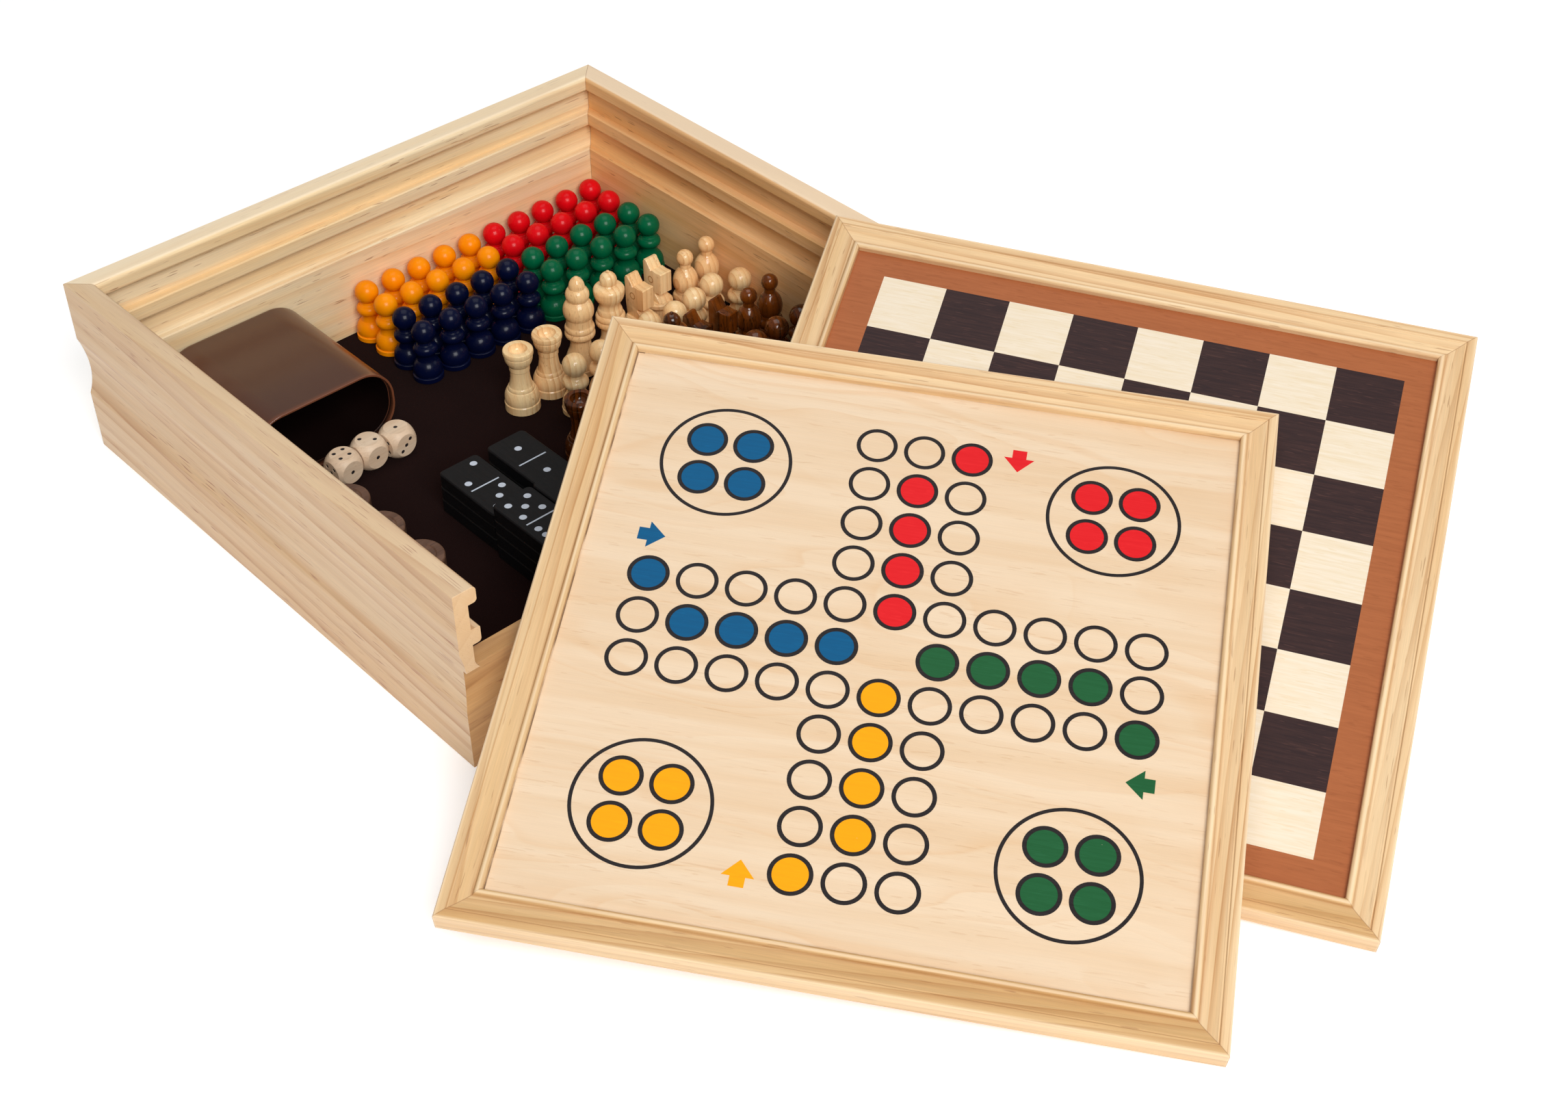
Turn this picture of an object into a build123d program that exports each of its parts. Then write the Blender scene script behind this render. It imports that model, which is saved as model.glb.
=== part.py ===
"""Games compendium box: open pine box, two sliding boards taken out, and the loose pieces."""
from build123d import *
from math import cos, radians, sin, sqrt
import os

# ---- boards -------------------------------------------------------------
board_size = 282.2        # outer edge of a framed board, square
board_thick = 10.0
board_frame = 14.4        # width of the board's frame rails
panel_recess = 3.8        # from the frame's face down to the printed panel
panel_thick = 2.4
panel_tongue = 4.0        # panel edge held in the frame's groove
frame_rim = 3.8           # flat rim round the outside of the frame's face
frame_bead = 3.0          # bead along the inside of the frame's face
frame_arris = 0.5

# ---- box ----------------------------------------------------------------
side_play = 2.4           # board edge to groove back, each side
groove_play = 2.25        # groove height over the board's thickness
groove_wood = 6.5         # wood left outside the grooves
lip_reach = 4.2           # how far the lips stand out over the grooves
rail_thick = 11.5         # wall of the box below the grooves
front_setback = 1.3       # a closed board's front edge behind the box's front
front_height = 49.5       # low front rail, level with the lower groove's floor
mid_lip = 7.7
top_lip = 7.8
lip_round = 1.6
groove_cove = 2.1         # hollow between the lower groove's floor and back
top_round = 2.2
cove_bottom = 30.0
cove_height = 30.0
cove_depth = 2.2
base_thick = 4.0
base_let = 5.5            # rail wood outside the base panel
base_play = 0.2
lining_thick = 1.5
lining_play = 0.1

# ---- boards as they lean out of the box ---------------------------------
chess_foot_past = 17.2    # the corner on the table stands this much more than a board's side before the box
chess_turn = 29.8         # heading of the board's right edge
ludo_foot_past = 11.7
ludo_turn = 36.05
ludo_side_room = 8.97     # from the left rail's end to the ludo board's left edge, in plan
feet_apart = 80.0         # sideways between the two corners on the table
table_gap = 0.25
rest_gap = 0.3            # between pieces that can be lifted apart

# ---- dice cup -----------------------------------------------------------
cup_wide = 75.0
cup_deep = 36.5
cup_long = 78.0
cup_corner = 16.5
cup_wall = 1.5
cup_lip = 0.8
cup_lip_long = 3.0
cup_from_left = 18.5
cup_from_back = 2.0

# ---- dice ---------------------------------------------------------------
die_size = 14.0
die_flat = 11.2           # diameter of the round flats
die_pip = 2.0
die_pip_pitch = 2.5
die_pip_deep = 0.3
dice_from_left = 53.2
dice_from_back = 94.6
dice_gap = 0.8            # between two dice, beyond their width

# ---- discs --------------------------------------------------------------
disc_wide = 22.0
disc_thick = 6.0
disc_round = 1.1
disc_dish = 15.0
disc_dish_deep = 0.4
disc_stack = 4

# ---- dominoes -----------------------------------------------------------
tile_long = 42.0
tile_wide = 21.0
tile_thick = 7.0
tile_corner = 2.6
tile_arris = 0.5
tile_pip = 3.5
tile_pip_deep = 0.3
tile_line = 15.0
tile_line_wide = 1.0
tile_pip_pitch = 5.2
stack_gap = 0.06          # between tiles and between discs of a stack

# ---- pegs ---------------------------------------------------------------
peg_base = 15.0           # diameter over the foot
peg_height = 31.5
peg_ball = 11.6
peg_play = 0.6            # least room between two feet
peg_rows = 4
peg_half = 5              # pegs of one colour in a row

# ---- chessmen -----------------------------------------------------------
king_height = 53.0
queen_height = 51.0
bishop_height = 39.0
knight_height = 39.0
rook_height = 33.5
pawn_height = 32.0
pawn_ball = 11.8
man_foot = 17.0           # foot diameter of the large men
pawn_foot = 14.6
knight_block = 9.4        # thickness of the sawn head

# ---- derived places -----------------------------------------------------
groove_height = board_thick + groove_play
mid_low = front_height + groove_height
mid_high = mid_low + mid_lip
top_low = mid_high + groove_height
box_height = top_low + top_lip
box_width = board_size + 2 * (side_play + groove_wood)
box_length = board_size + groove_wood + front_setback
nose = groove_wood + lip_reach
cove_mid = cove_bottom + cove_height / 2
cove_radius = ((cove_height / 2) ** 2 + cove_depth**2) / (2 * cove_depth)
front_edge = cove_depth - cove_radius + sqrt(cove_radius**2 - (front_height - cove_mid) ** 2)
floor = base_thick + lining_thick
left, right = -box_width / 2 + rail_thick, box_width / 2 - rail_thick
front, back = -box_length / 2 + rail_thick, box_length / 2 - rail_thick
chess_foot_out = board_size + chess_foot_past
ludo_foot_out = board_size + ludo_foot_past
ludo_reach = ludo_foot_out * cos(radians(ludo_turn)) - board_size - ludo_side_room
ludo_foot_x = left - ludo_reach / sin(radians(ludo_turn))
chess_foot_x = ludo_foot_x + feet_apart
piece_scale = board_size / 282.2    # the loose pieces and their places go with the board's size


def deliver(piece, name):
    piece.part.label = name
    export_step(piece.part, f"parts/{name}.step")
    print(name, len(piece.part.solids()), "solid(s)", round(piece.part.volume / 1000, 2), "cm3")


def outline(start, steps):
    """Profile through the steps: a pair is a straight run, a foursome an arc by its middle point."""
    at = start
    for step in steps:
        end = step[-2:]
        if len(step) == 4:
            ThreePointArc(at, step[:2], end)
        else:
            Line(at, end)
        at = end
    if at != start:
        Line(at, start)


def turned(steps, start=(0, 0)):
    """A turned piece standing on z = 0: radius and height along the profile, closed on the axis."""
    with BuildPart() as blank:
        with BuildSketch(Plane.XZ):
            with BuildLine():
                outline(start, steps)
            make_face()
        revolve(axis=Axis.Z)
    return blank.part


def ball(radius, middle, neck):
    """Ball on a neck: the arc's start, and its steps up to the axis."""
    low = middle - sqrt(radius**2 - neck**2)
    return (neck, low), (radius, middle, 0, middle + radius)


def loose(piece):
    """A loose piece, drawn for the board of 282.2 mm, in the size that goes with this board."""
    return piece if piece_scale == 1 else piece.scale(piece_scale)


def from_left(x, y):
    """A place on the lining, by its distances from the left and the back wall."""
    return left + x * piece_scale, back - y * piece_scale


def from_right(x, y):
    return right - x * piece_scale, back - y * piece_scale


def rail_blank(length):
    """Moulded stock, outer face on x = 0, along Y."""
    with BuildPart() as blank:
        with BuildSketch(Plane.XZ.offset(-length / 2)):
            with BuildLine():
                outline((0, 0), [
                    (base_let, 0), (base_let, base_thick), (rail_thick, base_thick),
                    (rail_thick, front_height - 0.6), (rail_thick - 0.6, front_height),
                    (groove_wood + groove_cove, front_height),
                    (groove_wood + 0.25 * groove_cove, front_height + 1.1 * groove_cove,
                     groove_wood, front_height + 2.6 * groove_cove),
                    (groove_wood, mid_low), (nose - lip_round, mid_low),
                    (nose - 0.3 * lip_round, mid_low + 0.3 * lip_round, nose, mid_low + lip_round),
                    (nose, mid_high - 0.6), (nose - 0.6, mid_high), (groove_wood, mid_high),
                    (groove_wood, top_low), (nose - lip_round, top_low),
                    (nose - 0.3 * lip_round, top_low + 0.3 * lip_round, nose, top_low + lip_round),
                    (nose, box_height - top_round),
                    (nose - 0.3 * top_round, box_height - 0.3 * top_round, nose - top_round, box_height),
                    (0.4, box_height), (0, box_height - 0.4), (0, cove_bottom + cove_height),
                    (cove_depth, cove_mid, 0, cove_bottom),
                ])
            make_face()
        extrude(amount=length)
    return blank.part


def mitre(x_side, y_side, along_x, top):
    """Take the waste off a rail's end at one corner of the box, up to the height top."""
    far = rail_thick + 2
    cx, cy = x_side * box_width / 2, y_side * box_length / 2
    out = (cx + x_side, cy - y_side * far) if along_x else (cx - x_side * far, cy + y_side)
    with BuildSketch(Plane.XY.offset(-1)) as waste:
        with BuildLine():
            Polyline((cx + x_side, cy + y_side), out, (cx - x_side * far, cy - y_side * far), close=True)
        make_face()
    extrude(waste.sketch, amount=top + 1, mode=Mode.SUBTRACT)


os.makedirs("parts", exist_ok=True)

# ---- the box's rails ----------------------------------------------------
side_stock = rail_blank(box_length)
cross_stock = rail_blank(box_width)

with BuildPart() as rail_left:
    with Locations(Location((-box_width / 2, 0, 0))):
        add(side_stock)
    mitre(-1, 1, False, box_height + 1)
    mitre(-1, -1, False, front_height)
deliver(rail_left, "rail_left")

with BuildPart() as rail_right:
    with Locations(Location((-box_width / 2, 0, 0))):
        add(side_stock)
    mirror(about=Plane.YZ, mode=Mode.REPLACE)
    mitre(1, 1, False, box_height + 1)
    mitre(1, -1, False, front_height)
deliver(rail_right, "rail_right")

with BuildPart() as rail_back:
    with Locations(Location((0, box_length / 2, 0), (0, 0, -90))):
        add(cross_stock)
    mitre(1, 1, True, box_height + 1)
    mitre(-1, 1, True, box_height + 1)
deliver(rail_back, "rail_back")

with BuildPart() as rail_front:
    with Locations(Location((0, -box_length / 2, 0), (0, 0, 90))):
        add(cross_stock)
    mitre(1, -1, True, box_height + 1)
    mitre(-1, -1, True, box_height + 1)
    split(bisect_by=Plane.XY.offset(front_height), keep=Keep.BOTTOM)
deliver(rail_front, "rail_front")

with BuildPart() as base_panel:
    with BuildSketch(Plane.XY):
        Rectangle(box_width - 2 * (base_let + base_play), box_length - 2 * (base_let + base_play))
    extrude(amount=base_thick)
deliver(base_panel, "base_panel")

with BuildPart() as floor_lining:
    with BuildSketch(Plane.XY.offset(base_thick)):
        Rectangle(right - left - 2 * lining_play, back - front - 2 * lining_play)
    extrude(amount=lining_thick)
deliver(floor_lining, "floor_lining")


# ---- the boards ---------------------------------------------------------
def lean(foot, turn, rest):
    """Plane of a board's underside, with X along its front edge and its origin in the middle.

    The board stands on its front right corner, lies on the low front rail where its left edge
    crosses it, and on the point that rest gives for its right edge.
    """
    foot = Vector(foot[0], foot[1], table_gap)
    heading = Vector(cos(radians(turn)), sin(radians(turn)), 0)
    crossing = Vector(0, -box_length / 2 + front_edge, front_height)
    normal, along = Vector(-0.2, -0.2, 0.96), heading
    for _ in range(40):
        raised = Vector(0, 0, rest_gap / normal.Z)
        third, second = rest(foot, along) + raised, crossing + raised
        normal = (third - foot).cross(second - foot).normalized()
        normal = normal if normal.Z > 0 else -normal
        along = (heading - Vector(0, 0, normal.dot(heading) / normal.Z)).normalized()
        across = along.cross(normal)
        corner = foot - across * board_size
        reach = (crossing.Y - corner.Y) / along.Y
        crossing = Vector(corner.X + reach * along.X, crossing.Y, crossing.Z)
    middle = foot + (along - across) * (board_size / 2)
    return Plane(origin=middle, x_dir=across, z_dir=normal)


def on_right_rail(foot, along):
    return Vector(box_width / 2, -box_length / 2, box_height)


def on_chess_panel(foot, along):
    corner = foot + along * board_size
    level = board_thick - panel_recess
    up, origin = chess_plane.z_dir, chess_plane.origin
    rise = (level - up.X * (corner.X - origin.X) - up.Y * (corner.Y - origin.Y)) / up.Z
    return Vector(corner.X, corner.Y, origin.Z + rise)


chess_plane = lean((chess_foot_x, -box_length / 2 - chess_foot_out), chess_turn, on_right_rail)
ludo_plane = lean((ludo_foot_x, -box_length / 2 - ludo_foot_out), ludo_turn, on_chess_panel)
for title, plane in (("chess", chess_plane), ("ludo", ludo_plane)):
    print(title, "board:", plane.origin, plane.x_dir, plane.z_dir)


def board_rail():
    """Frame rail along the board's front edge, moulded on top, grooved for the panel, mitred."""
    edge = -board_size / 2
    low = board_thick - panel_recess - panel_thick
    high = board_thick - panel_recess
    cove = board_frame - frame_bead
    with BuildPart() as blank:
        with BuildSketch(Plane.YZ.offset(-board_size / 2)):
            with BuildLine():
                outline((edge + frame_arris, 0), [
                    (edge + board_frame - 1.2, 0),
                    (edge + board_frame - 0.35, 0.35, edge + board_frame, 1.2),
                    (edge + board_frame, low), (edge + board_frame - panel_tongue - 0.2, low),
                    (edge + board_frame - panel_tongue - 0.2, high), (edge + board_frame, high),
                    (edge + board_frame, board_thick - 1.7),
                    (edge + cove + frame_bead / 2, board_thick - 0.7, edge + cove + 0.2, board_thick - 1.6),
                    (edge + cove, board_thick - 1.9),
                    (edge + frame_rim + 4.0, board_thick - 1.35, edge + frame_rim + 1.0, board_thick - 0.55),
                    (edge + frame_rim + 1.0, board_thick - 0.4), (edge + frame_rim + 0.3, board_thick - 0.4),
                    (edge + frame_rim, board_thick), (edge + frame_arris, board_thick),
                    (edge, board_thick - frame_arris), (edge, frame_arris),
                ])
            make_face()
        extrude(amount=board_size)
        for end in (-1, 1):
            far = board_frame + 2
            with BuildSketch(Plane.XY.offset(-1)):
                with BuildLine():
                    Polyline((end * (board_size / 2 + 1), edge - 1), (end * (board_size / 2 + 1), edge + far),
                             (end * (board_size / 2 - far), edge + far), close=True)
                make_face()
            extrude(amount=board_thick + 2, mode=Mode.SUBTRACT)
    return blank.part


board_stock = board_rail()
for title, plane in (("chess", chess_plane), ("ludo", ludo_plane)):
    for turn, side in enumerate(("front", "right", "back", "left")):
        with BuildPart() as frame_side:
            with Locations(plane.location * Location((0, 0, 0), (0, 0, 90 * turn))):
                add(board_stock)
        deliver(frame_side, f"{title}_frame_{side}")
    with BuildPart() as panel:
        with BuildSketch(plane.offset(board_thick - panel_recess - panel_thick)):
            Rectangle(*[board_size - 2 * (board_frame - panel_tongue)] * 2)
        extrude(amount=panel_thick)
    deliver(panel, f"{title}_panel")

# ---- dice cup, lying on its side with the mouth forward -----------------
with BuildPart() as cup_blank:
    with BuildSketch(Plane.XZ):
        RectangleRounded(cup_wide, cup_deep, cup_corner)
    extrude(amount=cup_long)
    fillet(cup_blank.faces().sort_by(Axis.Y)[-1].edges(), 3.0)
    with BuildSketch(Plane.XZ.offset(cup_wall)):
        RectangleRounded(cup_wide - 2 * cup_wall, cup_deep - 2 * cup_wall, cup_corner - cup_wall)
    extrude(amount=cup_long, mode=Mode.SUBTRACT)
    with BuildSketch(Plane.XZ.offset(cup_long - cup_lip_long)):
        RectangleRounded(cup_wide - 2 * cup_wall + cup_lip, cup_deep - 2 * cup_wall + cup_lip,
                         cup_corner - cup_wall + cup_lip / 2)
    extrude(amount=cup_long, mode=Mode.SUBTRACT)
    fillet(cup_blank.faces().sort_by(Axis.Y)[0].edges(), 0.3)
with BuildPart() as dice_cup:
    with Locations((*from_left(cup_from_left + cup_wide / 2, cup_from_back),
                    floor + rest_gap + cup_deep / 2 * piece_scale)):
        add(loose(cup_blank.part))
deliver(dice_cup, "dice_cup")

# ---- dice ---------------------------------------------------------------
spots = {
    1: [(0, 0)],
    2: [(-1, -1), (1, 1)],
    3: [(-1, -1), (0, 0), (1, 1)],
    4: [(-1, -1), (-1, 1), (1, -1), (1, 1)],
    5: [(-1, -1), (-1, 1), (1, -1), (1, 1), (0, 0)],
    6: [(-1, -1), (-1, 0), (-1, 1), (1, -1), (1, 0), (1, 1)],
}


def die(top, fore, aside, quarter):
    """Cube with round flats, centred on the origin; opposite faces add up to seven.

    The spots of the top and the bottom are turned by the given number of quarter turns.
    """
    half = die_size / 2
    faces = [(top, (0, 0, 90 * quarter)), (7 - top, (180, 0, 90 * quarter)), (fore, (90, 0, 0)),
             (7 - fore, (-90, 0, 0)), (aside, (0, 90, 0)), (7 - aside, (0, -90, 0))]
    with BuildPart() as cube:
        Box(die_size, die_size, die_size)
        Sphere(sqrt(half**2 + (die_flat / 2) ** 2), mode=Mode.INTERSECT)
        for value, tilt in faces:
            flat = Plane(Location((0, 0, 0), tilt) * Plane.XY.offset(half).location)
            with BuildSketch(flat):
                with Locations(*[(x * die_pip_pitch, y * die_pip_pitch) for x, y in spots[value]]):
                    Circle(die_pip / 2)
            extrude(amount=-die_pip_deep, mode=Mode.SUBTRACT)
    return cube.part


for number, (top, fore, aside, quarter, turn, along, deep) in enumerate((
        (4, 1, 2, 0, 4.0, 0.0, 0.3), (2, 1, 3, 1, 3.0, 1.0, -1.0), (1, 3, 2, 0, 4.5, 2.0, 0.2))):
    with BuildPart() as cube:
        place = from_left(dice_from_left + along * (die_size + dice_gap), dice_from_back + deep)
        with Locations(Location((*place, floor + rest_gap + die_size / 2 * piece_scale), (0, 0, turn))):
            add(loose(die(top, fore, aside, quarter)))
    deliver(cube, f"die_{number + 1}")

# ---- draughts discs in stacks -------------------------------------------
disc_r = disc_wide / 2
disc_blank = loose(turned([
    (disc_r - disc_round, 0), (disc_r - 0.3 * disc_round, 0.3 * disc_round, disc_r, disc_round),
    (disc_r, disc_thick - disc_round),
    (disc_r - 0.3 * disc_round, disc_thick - 0.3 * disc_round, disc_r - disc_round, disc_thick),
    (disc_dish / 2, disc_thick), (disc_dish / 2 - 0.6, disc_thick - disc_dish_deep),
    (0, disc_thick - disc_dish_deep),
]))
disc_stacks = {
    "dark": [from_left(29.5, 134.5), from_left(29.5, 160.5), from_left(31.0, 187.5)],
    "light": [from_right(58.5, 198.5), from_right(34.5, 199.5), from_right(46.5, 221.5)],
}
for colour, stacks in disc_stacks.items():
    for number, (x, y) in enumerate(stacks):
        with BuildPart() as discs:
            with Locations(*[(x + 0.5 * sin(2.4 * n + number), y + 0.5 * cos(1.9 * n + number),
                              floor + n * (disc_thick + stack_gap) * piece_scale) for n in range(disc_stack)]):
                add(disc_blank)
        deliver(discs, f"discs_{colour}_{number + 1}")


# ---- dominoes, flat in stacks -------------------------------------------
def tile(far, near):
    """One domino on z = 0 with its length along Y; far half towards +Y."""
    with BuildPart() as blank:
        with BuildSketch(Plane.XY):
            RectangleRounded(tile_wide, tile_long, tile_corner)
        extrude(amount=tile_thick)
        chamfer(blank.faces().filter_by(Axis.Z).edges(), tile_arris)
        with BuildSketch(Plane.XY.offset(tile_thick)):
            Rectangle(tile_line, tile_line_wide)
            for value, middle in ((far, tile_long / 4), (near, -tile_long / 4)):
                if value:
                    with Locations(*[(x * tile_pip_pitch, middle + y * tile_pip_pitch) for x, y in spots[value]]):
                        Circle(tile_pip / 2)
        extrude(amount=-tile_pip_deep, mode=Mode.SUBTRACT)
    return loose(blank.part)


tops = [(int(face[0]), int(face[1])) for face in "23 11 56 04 66 24 13".split()]
pairs = [(a, b) for a in range(7) for b in range(a, 7) if (a, b) not in tops]
# stack middle, how many tiles, and how unevenly they lie
tile_stacks = [
    (*from_left(82.5, 164.5), 3, 0.5), (*from_left(109.0, 164.5), 3, 0.5),
    (*from_left(80.9, 206.8), 4, 0.0), (*from_left(102.7, 206.8), 4, 0.0),
    (*from_left(127.0, 208.4), 5, 0.4), (*from_left(149.5, 208.0), 5, 0.4),
    (*from_left(172.0, 208.6), 4, 0.4),
]
for number, (x, y, count, uneven) in enumerate(tile_stacks):
    with BuildPart() as stack:
        for n in range(count):
            face = tops[number] if n == count - 1 else pairs.pop(0)
            with Locations(Location((x + 0.1 * uneven * sin(3 * n), y + uneven * cos(2 * n + number) / 2,
                                     floor + n * (tile_thick + stack_gap) * piece_scale),
                                    (0, 0, uneven * sin(2.6 * n + number)))):
                add(tile(*face))
    deliver(stack, f"dominoes_{number + 1}")
print("tiles not laid:", len(pairs))

# ---- ludo pegs ----------------------------------------------------------
peg_r = peg_base / 2
neck, over = ball(peg_ball / 2, peg_height - peg_ball / 2, 3.3)
peg_blank = loose(turned([
    (peg_r - 0.4, 0), (peg_r, 0.4), (peg_r, 2.5), (peg_r - 0.8, 2.9), (peg_r - 0.6, 3.2),
    (peg_r - 0.5, 6.6, 4.6, 10.4), (4.2, 12.2, 4.7, 14.2), (6.0, 16.8, 4.2, 19.2), (3.6, 19.8), neck, over,
]))
peg_step = peg_base + peg_play


def peg_spots(first_row, first_column):
    return [(*from_right(peg_r + 0.4 + (2 * peg_half - 1 - column) * peg_step - 0.12 * sin(2.3 * column + 1.7 * row),
                         peg_r + 0.5 + row * (peg_step + 0.15) - 0.12 * cos(1.9 * column + 2.6 * row)), floor)
            for row in range(first_row, first_row + peg_rows // 2)
            for column in range(first_column, first_column + peg_half)]


for colour, row, column in (("yellow", 0, 0), ("red", 0, peg_half),
                            ("navy", peg_rows // 2, 0), ("green", peg_rows // 2, peg_half)):
    with BuildPart() as pegs:
        with Locations(*peg_spots(row, column)):
            add(peg_blank)
    deliver(pegs, f"pegs_{colour}")

# ---- chessmen -----------------------------------------------------------
foot = man_foot / 2
foot_steps = [(foot - 0.4, 0), (foot, 0.4), (foot, 3.2), (foot - 0.5, 3.6), (foot - 0.2, 4.0)]

k = king_height / 53
king_blank = turned([*foot_steps,
    (foot - 0.9, 7.6 * k, 5.9, 12.0 * k), (5.1, 15.4 * k, 5.3, 18.8 * k), (5.9, 19.2 * k),
    (7.4, 20.9 * k, 7.0, 22.9 * k), (6.8, 23.1 * k), (7.3, 24.5 * k, 6.6, 26.2 * k), (6.4, 26.6 * k),
    (6.3, 28.6 * k, 6.4, 30.4 * k), (7.5, 34.9 * k, 5.2, 39.8 * k), (4.9, 40.2 * k),
    (5.8, 43.4 * k, 4.2, 46.6 * k), (3.9, 46.9 * k), (3.4, 49.8 * k, 1.3, 52.4 * k),
    (0.7, 52.85 * k, 0, king_height),
])

k = queen_height / 51
neck, over = ball(4.2, queen_height - 4.2 - 0.8, 3.5)
queen_blank = turned([*foot_steps,
    (foot - 1.0, 8.0 * k, 5.7, 12.4 * k), (5.0, 16.2 * k, 5.3, 19.8 * k), (5.9, 20.2 * k),
    (7.4, 22.0 * k, 7.1, 24.1 * k), (6.9, 24.3 * k), (7.3, 25.7 * k, 6.5, 27.4 * k), (6.2, 27.6 * k),
    (6.1, 29.2 * k, 5.4, 30.8 * k), (5.2, 32.6 * k, 5.9, 34.6 * k), (7.3, 37.5 * k, 7.6, 39.9 * k),
    (7.2, 41.7 * k, 6.0, 42.6 * k), (3.9, 43.2 * k), neck, (*over[:2], 0.9, queen_height - 0.9),
    (0.8, queen_height - 0.2), (0, queen_height),
])

k = bishop_height / 39
slim = foot - 0.7
neck, over = ball(4.2, bishop_height - 4.2, 2.8)
bishop_blank = turned([
    (slim - 0.4, 0), (slim, 0.4), (slim, 2.8), (slim - 0.5, 3.2), (slim - 0.2, 3.6),
    (slim - 0.6, 6.6 * k, 5.3, 9.8 * k), (5.4, 10.6 * k), (6.2, 11.4 * k), (6.7, 13.0 * k, 6.1, 14.6 * k),
    (5.3, 15.4 * k), (5.1, 16.9 * k), (6.3, 22.8 * k, 3.3, 28.8 * k), (2.8, 29.4 * k), neck, over,
])

k = rook_height / 33.5
rook_blank = turned([
    (foot - 0.4, 0), (foot, 0.4), (foot, 4.2 * k), (foot - 0.4, 4.7 * k),
    (foot - 0.3, 8.0 * k, 6.9, 11.3 * k), (6.5, 11.5 * k), (6.3, 12.7 * k, 5.7, 13.5 * k),
    (4.8, 17.6 * k, 4.6, 21.8 * k), (4.9, 22.2 * k), (5.0, 24.8 * k), (6.2, 26.9 * k, 6.8, 30.0 * k),
    (6.6, 30.4 * k), (7.2, 31.0 * k), (7.3, 32.0 * k, 7.1, rook_height - 0.3), (6.8, rook_height),
    (4.5, rook_height), (3.9, rook_height - 2.8, 0.8, rook_height - 4.2), (0, rook_height - 4.6),
])

k = pawn_height / 32
small = pawn_foot / 2
neck, over = ball(pawn_ball / 2, pawn_height - pawn_ball / 2, 3.5)
pawn_blank = turned([
    (small - 0.4, 0), (small, 0.4), (small, 2.7), (small - 0.5, 3.1), (small - 0.2, 3.5),
    (small - 0.6, 6.8 * k, 4.9, 10.6 * k), (4.4, 12.6 * k, 4.8, 14.4 * k), (6.3, 17.0 * k, 4.4, 19.4 * k),
    (3.8, 20.0 * k), neck, over,
])

k = knight_height / 39
with BuildPart() as knight:
    with BuildSketch(Plane.XZ):
        with BuildLine():
            outline((0, 0), [
                (slim - 0.4, 0), (slim, 0.4), (slim, 2.8), (slim - 0.5, 3.2), (slim - 0.2, 3.6),
                (slim - 0.8, 7.0 * k, 6.0, 10.2 * k), (5.6, 12.0 * k, 6.2, 14.0 * k), (7.2, 14.9 * k),
                (7.2, 16.6 * k), (6.6, 17.2 * k), (0, 17.2 * k),
            ])
        make_face()
    revolve(axis=Axis.Z)
    with BuildSketch(Plane.XZ.offset(-knight_block / 2)):
        with BuildLine():
            Polyline((-5.4, 16.0 * k), (-6.6, 24.0 * k), (-7.0, 38.4 * k), (-5.6, knight_height),
                     (-2.6, 36.6 * k), (-1.6, 32.4 * k), (1.2, 31.0 * k), (3.4, 32.2 * k), (7.4, 29.6 * k),
                     (8.2, 28.4 * k), (8.0, 20.2 * k), (6.9, 18.8 * k), (3.6, 18.6 * k), (4.4, 16.0 * k),
                     close=True)
        make_face()
    extrude(amount=knight_block)
    for face_side in (-1, 1):
        with BuildSketch(Plane.XZ.offset(face_side * knight_block / 2)):
            with Locations((0.4, 27.4 * k)):
                Circle(1.7)
        extrude(amount=-face_side * 0.8, mode=Mode.SUBTRACT)
        with BuildSketch(Plane.YZ):
            with BuildLine():
                Polyline((face_side * (knight_block / 2 + 1), knight_height + 1),
                         (face_side * (knight_block / 2 - 2.2), knight_height + 1),
                         (face_side * (knight_block / 2), 33.0 * k), (face_side * (knight_block / 2 + 1), 33.0 * k),
                         close=True)
            make_face()
        extrude(amount=man_foot, both=True, mode=Mode.SUBTRACT)
knight_blank = knight.part

# where each man stands, from the right and the back wall, and its turn
men = {
    "natural": {
        "king": [(90.1, 101.5, 0)],
        "queen": [(74.1, 105.4, 20)],
        "bishops": [(23.6, 102.3, 0), (7.9, 100.3, 40)],
        "knights": [(55.3, 105.0, -56), (39.5, 100.0, -65)],
        "rooks": [(130.5, 106.5, 0), (112.5, 105.3, 30)],
        "pawns": [(113.2, 126.5, 0), (97.2, 126.6, 10), (80.5, 126.9, 20), (65.3, 124.3, 30),
                  (50.5, 125.6, 40), (35.9, 123.1, 50), (21.3, 119.3, 60), (7.7, 124.9, 70)],
    },
    "brown": {
        "king": [(96.5, 153.5, 0)],
        "queen": [(74.8, 152.8, 30)],
        "bishops": [(23.5, 148.9, 0), (7.9, 146.9, 30)],
        "knights": [(56.2, 149.5, -45), (39.7, 148.7, -40)],
        "rooks": [(133.9, 156.7, 0), (116.3, 155.0, 30)],
        "pawns": [(114.0, 173.0, 0), (98.8, 171.5, 10), (83.7, 170.3, 20), (68.6, 170.7, 30),
                  (53.6, 170.0, 40), (38.6, 170.5, 50), (23.5, 168.9, 60), (8.0, 169.6, 70)],
    },
}
blanks = {"king": king_blank, "queen": queen_blank, "bishops": bishop_blank,
          "knights": knight_blank, "rooks": rook_blank, "pawns": pawn_blank}
for side, army in men.items():
    for man, places in army.items():
        with BuildPart() as pieces:
            with Locations(*[Location((*from_right(x, y), floor), (0, 0, turn)) for x, y, turn in places]):
                add(loose(blanks[man]))
        deliver(pieces, f"{side}_{man}")
print("box", round(box_width, 2), round(box_length, 2), round(box_height, 2))
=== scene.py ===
import bpy
import bmesh
import math
from mathutils import Euler, Matrix, Vector


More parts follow.
